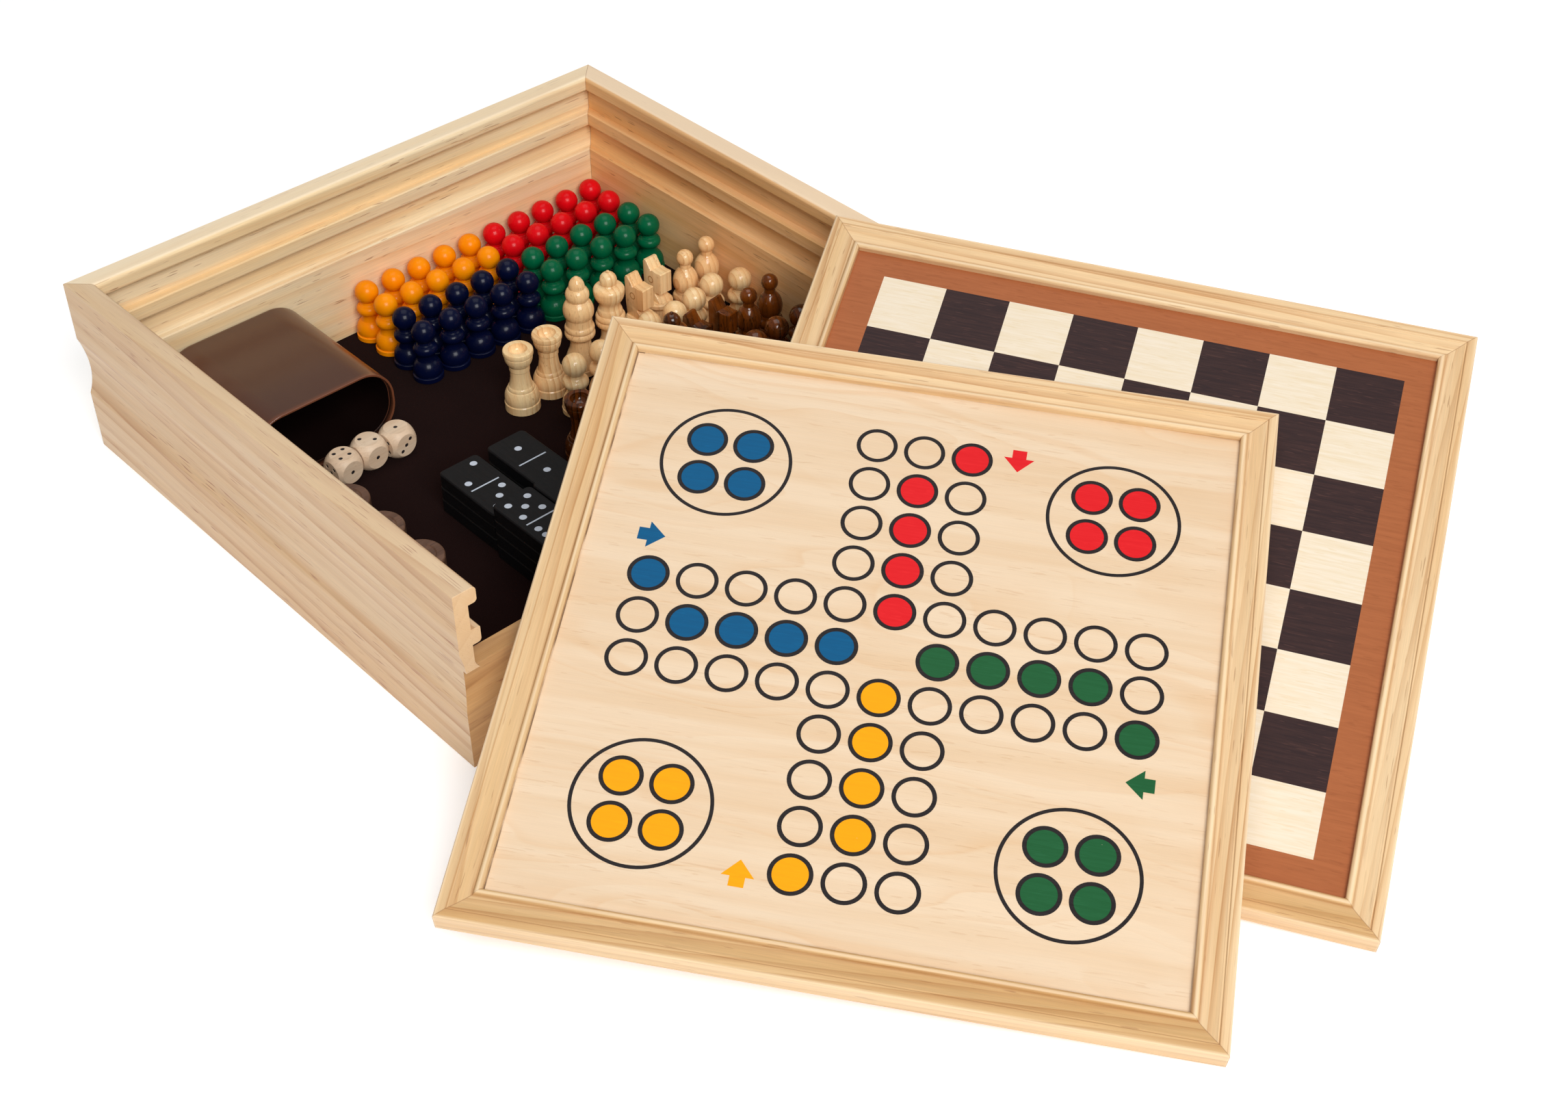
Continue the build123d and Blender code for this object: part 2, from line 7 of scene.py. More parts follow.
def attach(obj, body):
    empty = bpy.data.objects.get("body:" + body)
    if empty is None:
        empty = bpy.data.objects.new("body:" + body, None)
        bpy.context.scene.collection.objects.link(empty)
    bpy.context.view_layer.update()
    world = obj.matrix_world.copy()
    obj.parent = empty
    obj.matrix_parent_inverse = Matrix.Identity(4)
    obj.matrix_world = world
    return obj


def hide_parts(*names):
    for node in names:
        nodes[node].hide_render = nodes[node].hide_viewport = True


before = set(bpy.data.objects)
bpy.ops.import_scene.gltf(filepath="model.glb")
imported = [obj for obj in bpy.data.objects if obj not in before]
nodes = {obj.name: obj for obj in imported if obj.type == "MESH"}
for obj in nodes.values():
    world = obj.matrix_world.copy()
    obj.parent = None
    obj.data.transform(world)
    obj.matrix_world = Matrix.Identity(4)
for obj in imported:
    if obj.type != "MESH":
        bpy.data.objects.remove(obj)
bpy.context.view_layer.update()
mm = 0.001
print("frame loaded:", len(nodes), "nodes")


def paint(red, green, blue):
    # a colour as a paint chart gives it, 0 to 255, turned into linear light
    parts = []
    for value in (red, green, blue):
        share = value / 255
        parts.append(share / 12.92 if share <= 0.04045 else ((share + 0.055) / 1.055) ** 2.4)
    return (*parts, 1.0)


def newMaterial(name, **sockets):
    material = bpy.data.materials.new(name)
    material.use_nodes = True
    tree = material.node_tree
    shader = tree.nodes["Principled BSDF"]
    for socket, value in sockets.items():
        shader.inputs[socket.replace("_", " ")].default_value = value
    return material, tree, shader


def feed(tree, shader, **sockets):
    # joins a pattern to each of the shader's sockets
    for socket, pattern in sockets.items():
        tree.links.new(pattern, shader.inputs[socket.replace("_", " ")])


def addNode(tree, kind, inputs=None, **settings):
    node = tree.nodes.new("ShaderNode" + kind)
    for key, value in settings.items():
        setattr(node, key, value)
    for key, value in (inputs or {}).items():
        if isinstance(value, bpy.types.NodeSocket):
            tree.links.new(value, node.inputs[key])
        else:
            node.inputs[key].default_value = value
    return node


def calc(tree, operation, *values, clamp=False):
    node = addNode(tree, "Math", dict(enumerate(values)), operation=operation)
    node.use_clamp = clamp
    return node.outputs[0]


def plus(tree, first, second):
    return calc(tree, "ADD", first, second)


def less(tree, first, second):
    return calc(tree, "SUBTRACT", first, second)


def times(tree, first, second):
    return calc(tree, "MULTIPLY", first, second)


def timesPlus(tree, value, factor, added):
    return calc(tree, "MULTIPLY_ADD", value, factor, added)


def size(tree, value):
    # the number without its sign
    return calc(tree, "ABSOLUTE", value)


def joined(tree, x, y, z):
    return addNode(tree, "CombineXYZ", {0: x, 1: y, 2: z}).outputs[0]


def split(tree, vector):
    return tuple(addNode(tree, "SeparateXYZ", {0: vector}).outputs)


def surfaceNormal(tree):
    return addNode(tree, "NewGeometry").outputs["Normal"]


def noise(tree, vector, scale=1.0, detail=3.0, roughness=0.5, distortion=0.0):
    return addNode(tree, "TexNoise", {"Vector": vector, "Scale": scale, "Detail": detail,
                                      "Roughness": roughness, "Distortion": distortion}).outputs["Fac"]


def ramp(tree, factor, stops, ease="LINEAR"):
    node = addNode(tree, "ValToRGB", {"Fac": factor})
    node.color_ramp.interpolation = ease
    elements = node.color_ramp.elements
    while len(elements) < len(stops):
        elements.new(0.5)
    for element, (place, value) in zip(elements, stops):
        element.position = place
        element.color = (value, value, value, 1)
    return node.outputs["Color"]


def stretched(tree, lie, along, across, shift=0.0):
    # a space in which a pattern is drawn out along the grain
    run, side, rise = lie
    return joined(tree, timesPlus(tree, run, along, shift), times(tree, side, across),
                  times(tree, rise, across))


def band(tree, value, middle, half, soft):
    # 1 within half of the middle, falling to 0 over soft
    past = less(tree, size(tree, less(tree, value, middle)), half)
    return calc(tree, "SUBTRACT", 1.0, calc(tree, "DIVIDE", past, soft), clamp=True)


def blendColour(tree, factor, first, second, kind="MIX"):
    node = addNode(tree, "Mix", data_type="RGBA", blend_type=kind)
    for key, value in ((0, factor), (6, first), (7, second)):
        if isinstance(value, bpy.types.NodeSocket):
            tree.links.new(value, node.inputs[key])
        else:
            node.inputs[key].default_value = value
    return node.outputs[2]


def dust(tree, point, scale, wide, strength):
    # a bright speck here and there
    cells = addNode(tree, "TexVoronoi", {"Vector": point, "Scale": scale, "Randomness": 1.0})
    return ramp(tree, cells.outputs["Distance"], [(0.0, strength), (wide, 0.0)])


def bump(tree, shader, height, distance, strength=1.0):
    node = addNode(tree, "Bump", {"Height": height, "Distance": distance * mm, "Strength": strength})
    feed(tree, shader, Normal=node.outputs[0])


def localPlace(tree, place=None):
    # the point in millimetres, in the piece's own frame
    point = addNode(tree, "TexCoord").outputs["Object"]
    if place is not None:
        origin, turn = place
        point = addNode(tree, "Mapping", {"Vector": point, "Location": origin, "Rotation": turn},
                        vector_type="TEXTURE").outputs[0]
    return addNode(tree, "VectorMath", {0: point, "Scale": 1 / mm}, operation="SCALE").outputs[0]


# where the two boards lie: the middle of the underside, the way of the front rail and the way the face looks
boards = {
    "ludo": {"origin": (-22.2791, -246.33, 46.0627), "across": (0.600315, -0.797703, -0.057375),
             "normal": (-0.180696, -0.205168, 0.961902)},
    "chess": {"origin": (77.415, -256.23, 49.1671), "across": (0.508106, -0.860279, -0.041798),
              "normal": (-0.242503, -0.189458, 0.951471)},
}
boardFrame = {"size": 282.2, "thick": 10.0, "recess": 3.8, "rail": 14.4}
for board in boards.values():
    across, normal = Vector(board["across"]).normalized(), Vector(board["normal"]).normalized()
    turn = Matrix((across, normal.cross(across), normal)).transposed()
    origin = Vector(board["origin"]) * mm
    board["place"] = (origin, turn.to_euler())
    panelTop = Matrix.Translation((0, 0, (boardFrame["thick"] - boardFrame["recess"]) * mm))
    board["face"] = Matrix.Translation(origin) @ turn.to_4x4() @ panelTop

# what every wood starts from, lengths in mm and strengths from 0 to 1
plainWood = {
    "seed": 0.0, "wobble": 9.0, "slope": 0.0, "uneven": 6.0, "ringStrength": 0.6, "fibreStrength": 0.5,
    "poreRun": 0.1, "poreFine": 1.5, "poreFrom": 0.73, "poreStrength": 0.6, "poreDepth": 0.6,
    "rough": 0.42, "roughSpread": 0.18, "coat": 0.1, "coatRough": 0.3, "gloss": 0.35, "relief": 0.05,
}
# how fine each pattern of the grain is, per mm, and the stops that give its strength
grain = {
    "wander": {"along": 0.006, "across": 0.02, "shift": 0, "detail": 2.0, "roughness": 0.5},
    "patch": {"along": 0.005, "across": 0.11, "shift": 7, "detail": 3.0, "roughness": 0.5,
              "stops": [(0.38, 0.0), (0.64, 1.0)]},
    "fibre": {"along": 0.05, "across": 1.9, "shift": 0, "detail": 4.0, "roughness": 0.62,
              "stops": [(0.3, 0.8), (0.7, 1.1)]},
    "cluster": {"along": 0.012, "across": 0.16, "shift": 19, "detail": 1.0, "roughness": 0.5,
                "stops": [(0.44, 0.0), (0.6, 1.0)]},
    "ring": {"uneven": 0.09, "stops": [(0.0, 0.03), (0.4, 0.1), (0.78, 0.62), (0.92, 1.0), (1.0, 0.03)]},
    "strong": {"along": 0.008, "outwards": 0.11, "seedTimes": 2, "shift": 3, "layer": 2.0,
               "stops": [(0.34, 0.12), (0.66, 1.0)]},
    "poreEdge": 0.05,
}


def grainNoise(tree, lie, name, seed=0.0):
    fine = grain[name]
    space = stretched(tree, lie, fine["along"], fine["across"], seed + fine["shift"])
    return noise(tree, space, detail=fine["detail"], roughness=fine["roughness"])


def growthRings(tree, wood, lie):
    # rings round a pith that lies beside the plank, not all equally wide or strong
    run, side, rise = lie
    seed = wood["seed"]
    wobble = times(tree, less(tree, grainNoise(tree, lie, "wander", seed), 0.5), wood["wobble"])
    pithSide, pithRise = wood["pith"]
    fromPith = joined(tree, less(tree, side, pithSide), less(tree, rise, pithRise), 0.0)
    radius = addNode(tree, "VectorMath", {0: fromPith}, operation="LENGTH").outputs["Value"]
    radius = plus(tree, radius, timesPlus(tree, run, wood["slope"], wobble))
    uneven = noise(tree, joined(tree, times(tree, radius, grain["ring"]["uneven"]), seed, 0.0), detail=1.0)
    radius = timesPlus(tree, uneven, wood["uneven"], radius)
    turnOfRing = calc(tree, "FRACT", calc(tree, "DIVIDE", radius, wood["ringGap"]))
    lateWood = ramp(tree, turnOfRing, grain["ring"]["stops"], ease="EASE")
    strong = grain["strong"]
    runOn = timesPlus(tree, run, strong["along"], seed * strong["seedTimes"] + strong["shift"])
    space = joined(tree, runOn, times(tree, radius, strong["outwards"]), strong["layer"])
    return times(tree, lateWood, ramp(tree, noise(tree, space, detail=2.0), strong["stops"]))


def poreMarks(tree, wood, lie):
    # short dark pores along the grain, in clusters
    pore = noise(tree, stretched(tree, lie, wood["poreRun"], wood["poreFine"], wood["seed"]), detail=0.0)
    pore = ramp(tree, pore, [(wood["poreFrom"], 0.0), (wood["poreFrom"] + grain["poreEdge"], 1.0)])
    cluster = grainNoise(tree, lie, "cluster", wood["seed"])
    return times(tree, pore, ramp(tree, cluster, grain["cluster"]["stops"]))


sawnEnd = {"facing": [(0.9, 0.0), (0.97, 1.0)], "across": 1.3, "along": 0.12, "strength": 0.75}


def cutEnd(tree, colour, wood, parts, lie):
    # the cut end of a rail, with the saw's marks across it
    facing = split(tree, surfaceNormal(tree))["XYZ".index(wood["along"])]
    onEnd = ramp(tree, size(tree, facing), sawnEnd["facing"])
    run, side, rise = lie
    saw = noise(tree, joined(tree, times(tree, plus(tree, side, rise), sawnEnd["across"]),
                             times(tree, less(tree, side, rise), sawnEnd["along"]), 0.0))
    sawn = blendColour(tree, saw, wood["pale"], wood["end"])
    return blendColour(tree, times(tree, onEnd, sawnEnd["strength"]), colour, sawn)


def paintedLitTop(tree, colour, wood, parts, lie):
    # painted highlight: the top edge is painted paler than the moulded faces, as if lit from above
    top = wood["top"]
    onTop = band(tree, parts[2], top["height"], top["half"], top["soft"])
    return blendColour(tree, times(tree, onTop, top["strength"]), colour, top["colour"])


# strength and colour of the painted edge highlights
edgeHighlight = {"strength": 0.3, "colour": paint(255, 236, 205)}


def paintedEdgeHighlights(tree, colour, wood, parts, lie):
    # painted highlight along the edges, where they would catch the light
    for axis, at, wide in wood["arris"]:
        highlit = band(tree, size(tree, parts[axis]), at, 0.0, wide)
        colour = blendColour(tree, times(tree, highlit, edgeHighlight["strength"]), colour, edgeHighlight["colour"])
    return colour


mitreJoint = {"half": 0.06, "soft": 0.3, "strength": 0.55, "colour": paint(150, 100, 58)}


def mitreLine(tree, colour, wood, parts, lie):
    # the fine dark joint between two mitred rails
    outX, outY, lowestY = wood["mitre"]
    fromMitre = less(tree, less(tree, outX, size(tree, parts[0])), less(tree, outY, size(tree, parts[1])))
    joint = times(tree, band(tree, fromMitre, 0.0, mitreJoint["half"], mitreJoint["soft"]),
                  calc(tree, "GREATER_THAN", parts[1], lowestY))
    return blendColour(tree, times(tree, joint, mitreJoint["strength"]), colour, mitreJoint["colour"])


def mouldingShadeAndHighlights(tree, colour, wood, parts, lie):
    # painted shade darkens the moulding's hollows and its step, painted highlights lighten its crest and
    # outer edge
    reach = calc(tree, "MAXIMUM", size(tree, parts[0]), size(tree, parts[1]))
    onTop = calc(tree, "GREATER_THAN", parts[2], wood["moulding"]["above"])
    for at, wide, soft, strength, tone in wood["moulding"]["lines"]:
        line = times(tree, times(tree, band(tree, reach, at, wide, soft), onTop), strength)
        colour = blendColour(tree, line, colour, tone)
    return colour


def seamLine(tree, colour, wood, parts, lie):
    # the shadow line where a panel meets its frame, broken, and strongest on the left
    seam = wood["seam"]
    reach = calc(tree, "MAXIMUM", size(tree, lie[0]), size(tree, lie[1]))
    line = band(tree, reach, seam["half"], seam["wide"], seam["soft"])
    space = stretched(tree, lie, seam["scale"], seam["scale"], seam["shift"])
    broken = ramp(tree, noise(tree, space, detail=2.0), seam["breaks"])
    onLeft = calc(tree, "LESS_THAN", parts[0], seam["leftEnd"])
    strength = timesPlus(tree, onLeft, seam["moreOnLeft"], seam["strength"])
    return blendColour(tree, times(tree, line, times(tree, broken, strength)), colour, seam["colour"])


def scratchMark(tree, colour, wood, parts, lie):
    # a pale bowed scratch on the inner face
    scratch = wood["scratch"]
    (fromX, fromZ), (toX, toZ) = scratch["ends"]
    long = math.hypot(toX - fromX, toZ - fromZ)
    unitX, unitZ = (toX - fromX) / long, (toZ - fromZ) / long
    dx, dz = less(tree, parts[0], fromX), less(tree, parts[2], fromZ)
    beside = less(tree, times(tree, dx, unitZ), times(tree, dz, unitX))
    gone = plus(tree, times(tree, dx, unitX), times(tree, dz, unitZ))
    bow = times(tree, calc(tree, "SINE", times(tree, gone, math.pi / long)), scratch["bow"])
    mark = times(tree, band(tree, beside, bow, scratch["wide"], scratch["soft"]),
                 band(tree, gone, long / 2, long / 2 - scratch["inset"], scratch["fade"]))
    mark = times(tree, mark, calc(tree, "LESS_THAN", parts[1], scratch["face"]))
    return blendColour(tree, times(tree, mark, scratch["strength"]), colour, scratch["colour"])


# drawn in this order, each where a wood's look has its word
woodMarks = {"end": cutEnd, "top": paintedLitTop, "arris": paintedEdgeHighlights, "mitre": mitreLine,
             "moulding": mouldingShadeAndHighlights, "seam": seamLine, "scratch": scratchMark}


def woodMaterial(name, look):
    wood = {**plainWood, **look}
    material, tree, shader = newMaterial(name, Coat_Weight=wood["coat"], Coat_Roughness=wood["coatRough"],
                                         Specular_IOR_Level=wood["gloss"])
    parts = split(tree, localPlace(tree, wood.get("place")))
    # how far along the grain, beside it and over it
    lie = [parts[axis] for axis in {"X": (0, 1, 2), "Y": (1, 0, 2), "Z": (2, 0, 1)}[wood["along"]]]
    patch = ramp(tree, grainNoise(tree, lie, "patch", wood["seed"]), grain["patch"]["stops"])
    colour = blendColour(tree, patch, wood["pale"], wood["honey"])
    rings = times(tree, growthRings(tree, wood, lie), wood["ringStrength"])
    colour = blendColour(tree, rings, colour, wood["dark"])
    fibre = grainNoise(tree, lie, "fibre")
    tone = ramp(tree, fibre, grain["fibre"]["stops"])
    colour = blendColour(tree, wood["fibreStrength"], colour, tone, "MULTIPLY")
    pore = poreMarks(tree, wood, lie)
    colour = blendColour(tree, times(tree, pore, wood["poreStrength"]), colour, wood["poreColour"])
    for word, draw in woodMarks.items():
        if word in wood:
            colour = draw(tree, colour, wood, parts, lie)
    rough = timesPlus(tree, fibre, wood["roughSpread"], wood["rough"] - wood["roughSpread"] / 2)
    feed(tree, shader, Base_Color=colour, Roughness=rough)
    bump(tree, shader, less(tree, fibre, times(tree, pore, wood["poreDepth"])), wood["relief"])
    return material


def dress(node, material):
    mesh = nodes[node].data
    mesh.materials.clear()
    mesh.materials.append(material)


pine = {
    "pale": paint(250, 219, 164), "honey": paint(244, 206, 144), "dark": paint(212, 156, 92),
    "poreColour": paint(150, 92, 62), "ringGap": 7.0, "ringStrength": 0.5,
    # arris: a painted highlight along the top edge
    "end": paint(216, 180, 136), "mitre": (150.0, 145.0, 0.0), "arris": [(2, 89.4, 0.6)],
}
railLooks = {
    "rail_left": {
        "along": "Y", "pith": (-196, 122), "seed": 1.3, "slope": 0.05, "ringStrength": 0.8, "ringGap": 8.0,
        "pale": paint(225, 193, 154), "honey": paint(218, 179, 132), "dark": paint(187, 131, 82),
        "wobble": 7.0, "poreFrom": 0.7, "poreStrength": 0.8, "poreRun": 0.07, "poreFine": 1.8,
        "poreColour": paint(160, 92, 66), "fibreStrength": 0.45},
    "rail_right": {
        "along": "Y", "pith": (172, -60), "seed": 4.1, "slope": -0.02, "ringStrength": 0.4, "ringGap": 5.0,
        "pale": paint(250, 202, 146), "honey": paint(241, 187, 124), "dark": paint(204, 142, 84),
        # top: a painted highlight, the top edge painted paler as if lit from above
        "top": {"height": 89.5, "half": 0.3, "soft": 0.3, "strength": 0.6, "colour": paint(255, 234, 206)}},
    "rail_back": {
        "along": "X", "pith": (190, -30), "seed": 8.6, "slope": 0.02, "ringGap": 5.5,
        "pale": paint(252, 230, 190), "honey": paint(252, 219, 167), "dark": paint(232, 180, 120),
        # top: a painted highlight, the top edge painted paler as if lit from above
        "top": {"height": 89.5, "half": 0.3, "soft": 0.3, "strength": 0.4, "colour": paint(255, 236, 208)},
        "scratch": {"ends": ((-60, 24.8), (-41, 39.8)), "bow": 0.8, "wide": 0.2, "soft": 0.25, "inset": 1,
                    "fade": 1.5, "face": 134.5, "strength": 0.6, "colour": paint(252, 228, 188)}},
    # the front rail's darker colours are partly painted shade, from the shadow the ludo board casts on it
    "rail_front": {
        "along": "X", "pith": (-200, 120), "seed": 12.9, "slope": 0.12, "ringStrength": 0.7,
        "pale": paint(200, 157, 106), "honey": paint(185, 138, 85), "dark": paint(146, 94, 50)},
}
plywood = {"along": "X", "pith": (20, -120), "ringGap": 9.0, "ringStrength": 0.35, "seed": 3.0, "coat": 0.0,
           "rough": 0.6}
for rail, look in railLooks.items():
    dress(rail, woodMaterial("pine." + rail, {**pine, **look}))
dress("base_panel", woodMaterial("plywood.base", {**pine, **plywood}))
print("rails dressed")

framePine = {
    "pale": paint(239, 207, 161), "honey": paint(231, 192, 141), "dark": paint(196, 140, 84),
    "poreColour": paint(150, 96, 56), "ringGap": 2.7, "ringStrength": 0.85, "wobble": 3.0, "uneven": 5.0,
    "poreStrength": 0.45, "end": paint(214, 176, 128), "mitre": (141.1, 141.1, -200.0),
    # arris: painted highlights along the outer edges
    "arris": [(0, 140.9, 0.5), (1, 140.9, 0.5)],
    # each line's distance from the board's middle, half its width, soft edge, strength and colour: the darker
    # lines are painted shade, the paler ones painted highlights
    "moulding": {"above": 6.0, "lines": [
        (129.7, 0.25, 0.45, 0.42, paint(176, 124, 72)), (137.25, 0.1, 0.35, 0.4, paint(176, 126, 76)),
        (128.2, 0.3, 0.5, 0.4, paint(255, 232, 196)), (140.6, 0.2, 0.6, 0.3, paint(255, 232, 196))]},
}
goldenPine = {"pale": paint(223, 184, 131), "honey": paint(211, 166, 108), "dark": paint(180, 124, 66)}
shadedPine = {"pale": paint(229, 196, 149), "honey": paint(221, 182, 130), "dark": paint(188, 133, 77)}
frameSides = {
    "front": {"along": "X", "pith": (-172, -30), **goldenPine}, "back": {"along": "X", "pith": (170, -34)},
    "left": {"along": "Y", "pith": (-171, -28), **shadedPine}, "right": {"along": "Y", "pith": (173, -32)},
}
# no two frame rails are cut from the same place
frameVary = {"pithSide": 6, "pithRise": -5, "seedOfSide": 2.7, "seedOfBoard": 13, "slope": 0.02,
             "levelAt": 1.5}
for number, (title, board) in enumerate(boards.items()):
    for step, (side, look) in enumerate(frameSides.items()):
        pithSide, pithRise = look["pith"]
        cut = {"pith": (pithSide + frameVary["pithSide"] * step, pithRise + frameVary["pithRise"] * number),
               "seed": frameVary["seedOfSide"] * step + frameVary["seedOfBoard"] * number,
               "slope": frameVary["slope"] * (step - frameVary["levelAt"])}
        rail = {**framePine, **look, **cut, "place": board["place"]}
        dress(f"{title}_frame_{side}", woodMaterial(f"pine.{title}.{side}", rail))

veneer = {
    "along": "X", "pale": paint(235, 209, 177), "honey": paint(229, 198, 161), "dark": paint(223, 179, 130),
    "poreColour": paint(204, 156, 108), "ringGap": 9.0, "ringStrength": 0.4, "wobble": 70.0, "uneven": 24.0,
    "poreFrom": 0.68, "poreStrength": 0.25, "poreRun": 0.12, "fibreStrength": 0.17, "rough": 0.45,
    "coat": 0.12,
    "seam": {"half": 126.6, "wide": 0.25, "soft": 0.25, "leftEnd": -123.6, "strength": 0.2,
             "moreOnLeft": 0.65, "scale": 0.05, "shift": 4.0, "breaks": [(0.42, 0.15), (0.56, 1.0)],
             "colour": paint(96, 66, 40)},
}
panels = {"ludo": {"pith": (60, -90), "seed": 5.2}, "chess": {"pith": (-40, -90), "seed": 9.4}}
for title, cut in panels.items():
    panel = {**veneer, **cut, "place": boards[title]["place"]}
    dress(title + "_panel", woodMaterial("birch." + title, panel))
print("boards dressed")

felt = {"base": paint(20, 8, 7), "light": paint(33, 15, 13), "speck": paint(120, 92, 84), "cloudScale": 0.05,
        "hairScale": 2.2, "speckScale": 0.11, "speckWide": 0.016, "speckStrength": 0.7, "nap": 0.2}


def liningMaterial():
    material, tree, shader = newMaterial("felt.lining", Roughness=0.95, Sheen_Weight=0.03,
                                         Sheen_Roughness=0.5, Specular_IOR_Level=0.02)
    point = localPlace(tree)
    cloud = noise(tree, point, scale=felt["cloudScale"])
    hair = noise(tree, point, scale=felt["hairScale"], detail=4.0, roughness=0.7)
    mixed = times(tree, plus(tree, cloud, hair), 0.5)
    colour = blendColour(tree, mixed, felt["base"], felt["light"])
    specks = dust(tree, point, felt["speckScale"], felt["speckWide"], felt["speckStrength"])
    feed(tree, shader, Base_Color=blendColour(tree, specks, colour, felt["speck"]))
    bump(tree, shader, hair, felt["nap"])
    return material


dress("floor_lining", liningMaterial())

cup = {
    # lip, lipStrength and edge: the painted light along the mouth's rim
    "centre": (-82.5, 24.05), "wide": 75.0, "mouth": 53.5, "lip": 2.5, "lipStrength": 0.75,
    "brown": paint(80, 54, 44), "warm": paint(96, 54, 36), "edge": paint(130, 76, 50),
    # warmSides: painted light, the round sides warmer as if lit through the thin plastic
    "inside": paint(22, 11, 9), "insideFrom": -0.5, "warmSides": [(0.5, 0.0), (1.0, 1.0)],
    "cloudScale": 0.02, "cloudStrength": 0.3, "scuffScale": 0.05, "rough": 0.24, "scuffed": 0.14,
    "grainScale": 0.5, "grainDeep": 0.012, "grainStrength": 0.5,
}


def cupMaterial():
    material, tree, shader = newMaterial("moulded.cup", Coat_Weight=0.3, Coat_Roughness=0.16)
    point = localPlace(tree)
    x, y, z = split(tree, point)
    centreX, centreZ = cup["centre"]
    fromMiddle = less(tree, x, centreX)
    # a surface that looks towards the cup's middle line is inside it
    outwards = joined(tree, fromMiddle, 0.0, less(tree, z, centreZ))
    facing = addNode(tree, "VectorMath", {0: outwards, 1: surfaceNormal(tree)}, operation="DOT_PRODUCT")
    within = calc(tree, "LESS_THAN", facing.outputs["Value"], cup["insideFrom"])
    # painted light: the round sides are painted warmer, as if light shone through the thin plastic; the flat
    # top stays greyer
    sideways = calc(tree, "DIVIDE", size(tree, fromMiddle), cup["wide"] / 2)
    colour = blendColour(tree, ramp(tree, sideways, cup["warmSides"]), cup["brown"], cup["warm"])
    cloud = noise(tree, point, scale=cup["cloudScale"], detail=1.0)
    colour = blendColour(tree, times(tree, cloud, cup["cloudStrength"]), colour, cup["warm"])
    colour = blendColour(tree, within, colour, cup["inside"])
    # painted light: a warmer band along the mouth's rim, as if light shone through the thin edge
    fromMouth = calc(tree, "DIVIDE", less(tree, y, cup["mouth"]), cup["lip"])
    lip = calc(tree, "SUBTRACT", 1.0, fromMouth, clamp=True)
    colour = blendColour(tree, times(tree, lip, cup["lipStrength"]), colour, cup["edge"])
    scuff = noise(tree, point, scale=cup["scuffScale"], detail=2.0)
    feed(tree, shader, Base_Color=colour, Roughness=timesPlus(tree, scuff, cup["scuffed"], cup["rough"]))
    moulded = noise(tree, point, scale=cup["grainScale"], detail=2.0)
    bump(tree, shader, moulded, cup["grainDeep"], cup["grainStrength"])
    return material


dress("dice_cup", cupMaterial())

bareBirch = {
    "pale": paint(232, 208, 180), "honey": paint(225, 195, 164), "dark": paint(206, 168, 130), "along": "X",
    "poreColour": paint(184, 144, 100), "ringGap": 2.2, "ringStrength": 0.35, "wobble": 2.0, "uneven": 1.5,
    "poreFrom": 0.68, "poreStrength": 0.3, "poreRun": 0.5, "rough": 0.5,
}
dieCuts = [{"seed": 0.0, "pith": (20, -14)}, {"seed": 3.1, "pith": (29, -14)},
           {"seed": 6.2, "pith": (38, -14)}]
for number, cut in enumerate(dieCuts, 1):
    dress(f"die_{number}", woodMaterial(f"birch.die.{number}", {**bareBirch, **cut}))

turnedDisc = {"ringGap": 3.2, "wobble": 3.0, "uneven": 2.0, "rough": 0.4, "coat": 0.2, "along": "X",
              "pith": (20, -60)}
discLooks = {
    "dark": {"pale": paint(118, 86, 68), "honey": paint(98, 68, 52), "dark": paint(62, 40, 30),
             "poreColour": paint(40, 24, 18), "ringStrength": 0.6, "poreFrom": 0.62, "poreStrength": 0.5},
    "light": {"pale": paint(236, 208, 166), "honey": paint(224, 188, 138), "dark": paint(196, 148, 96),
              "poreColour": paint(160, 110, 66), "ringStrength": 0.5, "poreFrom": 0.68, "poreStrength": 0.4},
}
stackSeed = 1.7
for tone, look in discLooks.items():
    for number in (1, 2, 3):
        wood = {**turnedDisc, **look, "seed": stackSeed * number}
        dress(f"discs_{tone}_{number}", woodMaterial(f"turned.{tone}.{number}", wood))

black = {"face": paint(19, 19, 21), "rub": paint(46, 45, 46), "grain": paint(12, 12, 14), "along": 0.1,
         "across": 1.6, "streaks": [(0.35, 0.0), (0.65, 1.0)], "scuffScale": 0.35,
         "scuffs": [(0.62, 0.0), (0.8, 0.35)], "rough": 0.36, "scuffed": 0.3, "relief": 0.03}


def dominoMaterial():
    material, tree, shader = newMaterial("black.domino", Specular_IOR_Level=0.23)
    point = localPlace(tree)
    x, y, z = split(tree, point)
    streak = noise(tree, stretched(tree, (y, x, z), black["along"], black["across"]), detail=4.0)
    scuff = noise(tree, point, scale=black["scuffScale"], detail=4.0, roughness=0.7)
    colour = blendColour(tree, ramp(tree, streak, black["streaks"]), black["grain"], black["face"])
    colour = blendColour(tree, ramp(tree, scuff, black["scuffs"]), colour, black["rub"])
    feed(tree, shader, Base_Color=colour, Roughness=timesPlus(tree, scuff, black["scuffed"], black["rough"]))
    bump(tree, shader, streak, black["relief"])
    return material


blackDomino = dominoMaterial()
for number in range(1, 8):
    dress(f"dominoes_{number}", blackDomino)

lacquer = {"cloudScale": 0.16, "clouds": [(0.3, 0.0), (0.7, 0.55)], "along": 0.12, "across": 1.1,
           "rough": 0.3, "brushed": 0.2, "relief": 0.06, "reliefStrength": 0.6}
lacquers = {
    "yellow": (paint(255, 152, 2), paint(244, 128, 0)), "red": (paint(228, 10, 22), paint(200, 4, 16)),
    "navy": (paint(5, 12, 46), paint(3, 8, 32)), "green": (paint(0, 100, 62), paint(0, 80, 50)),
}


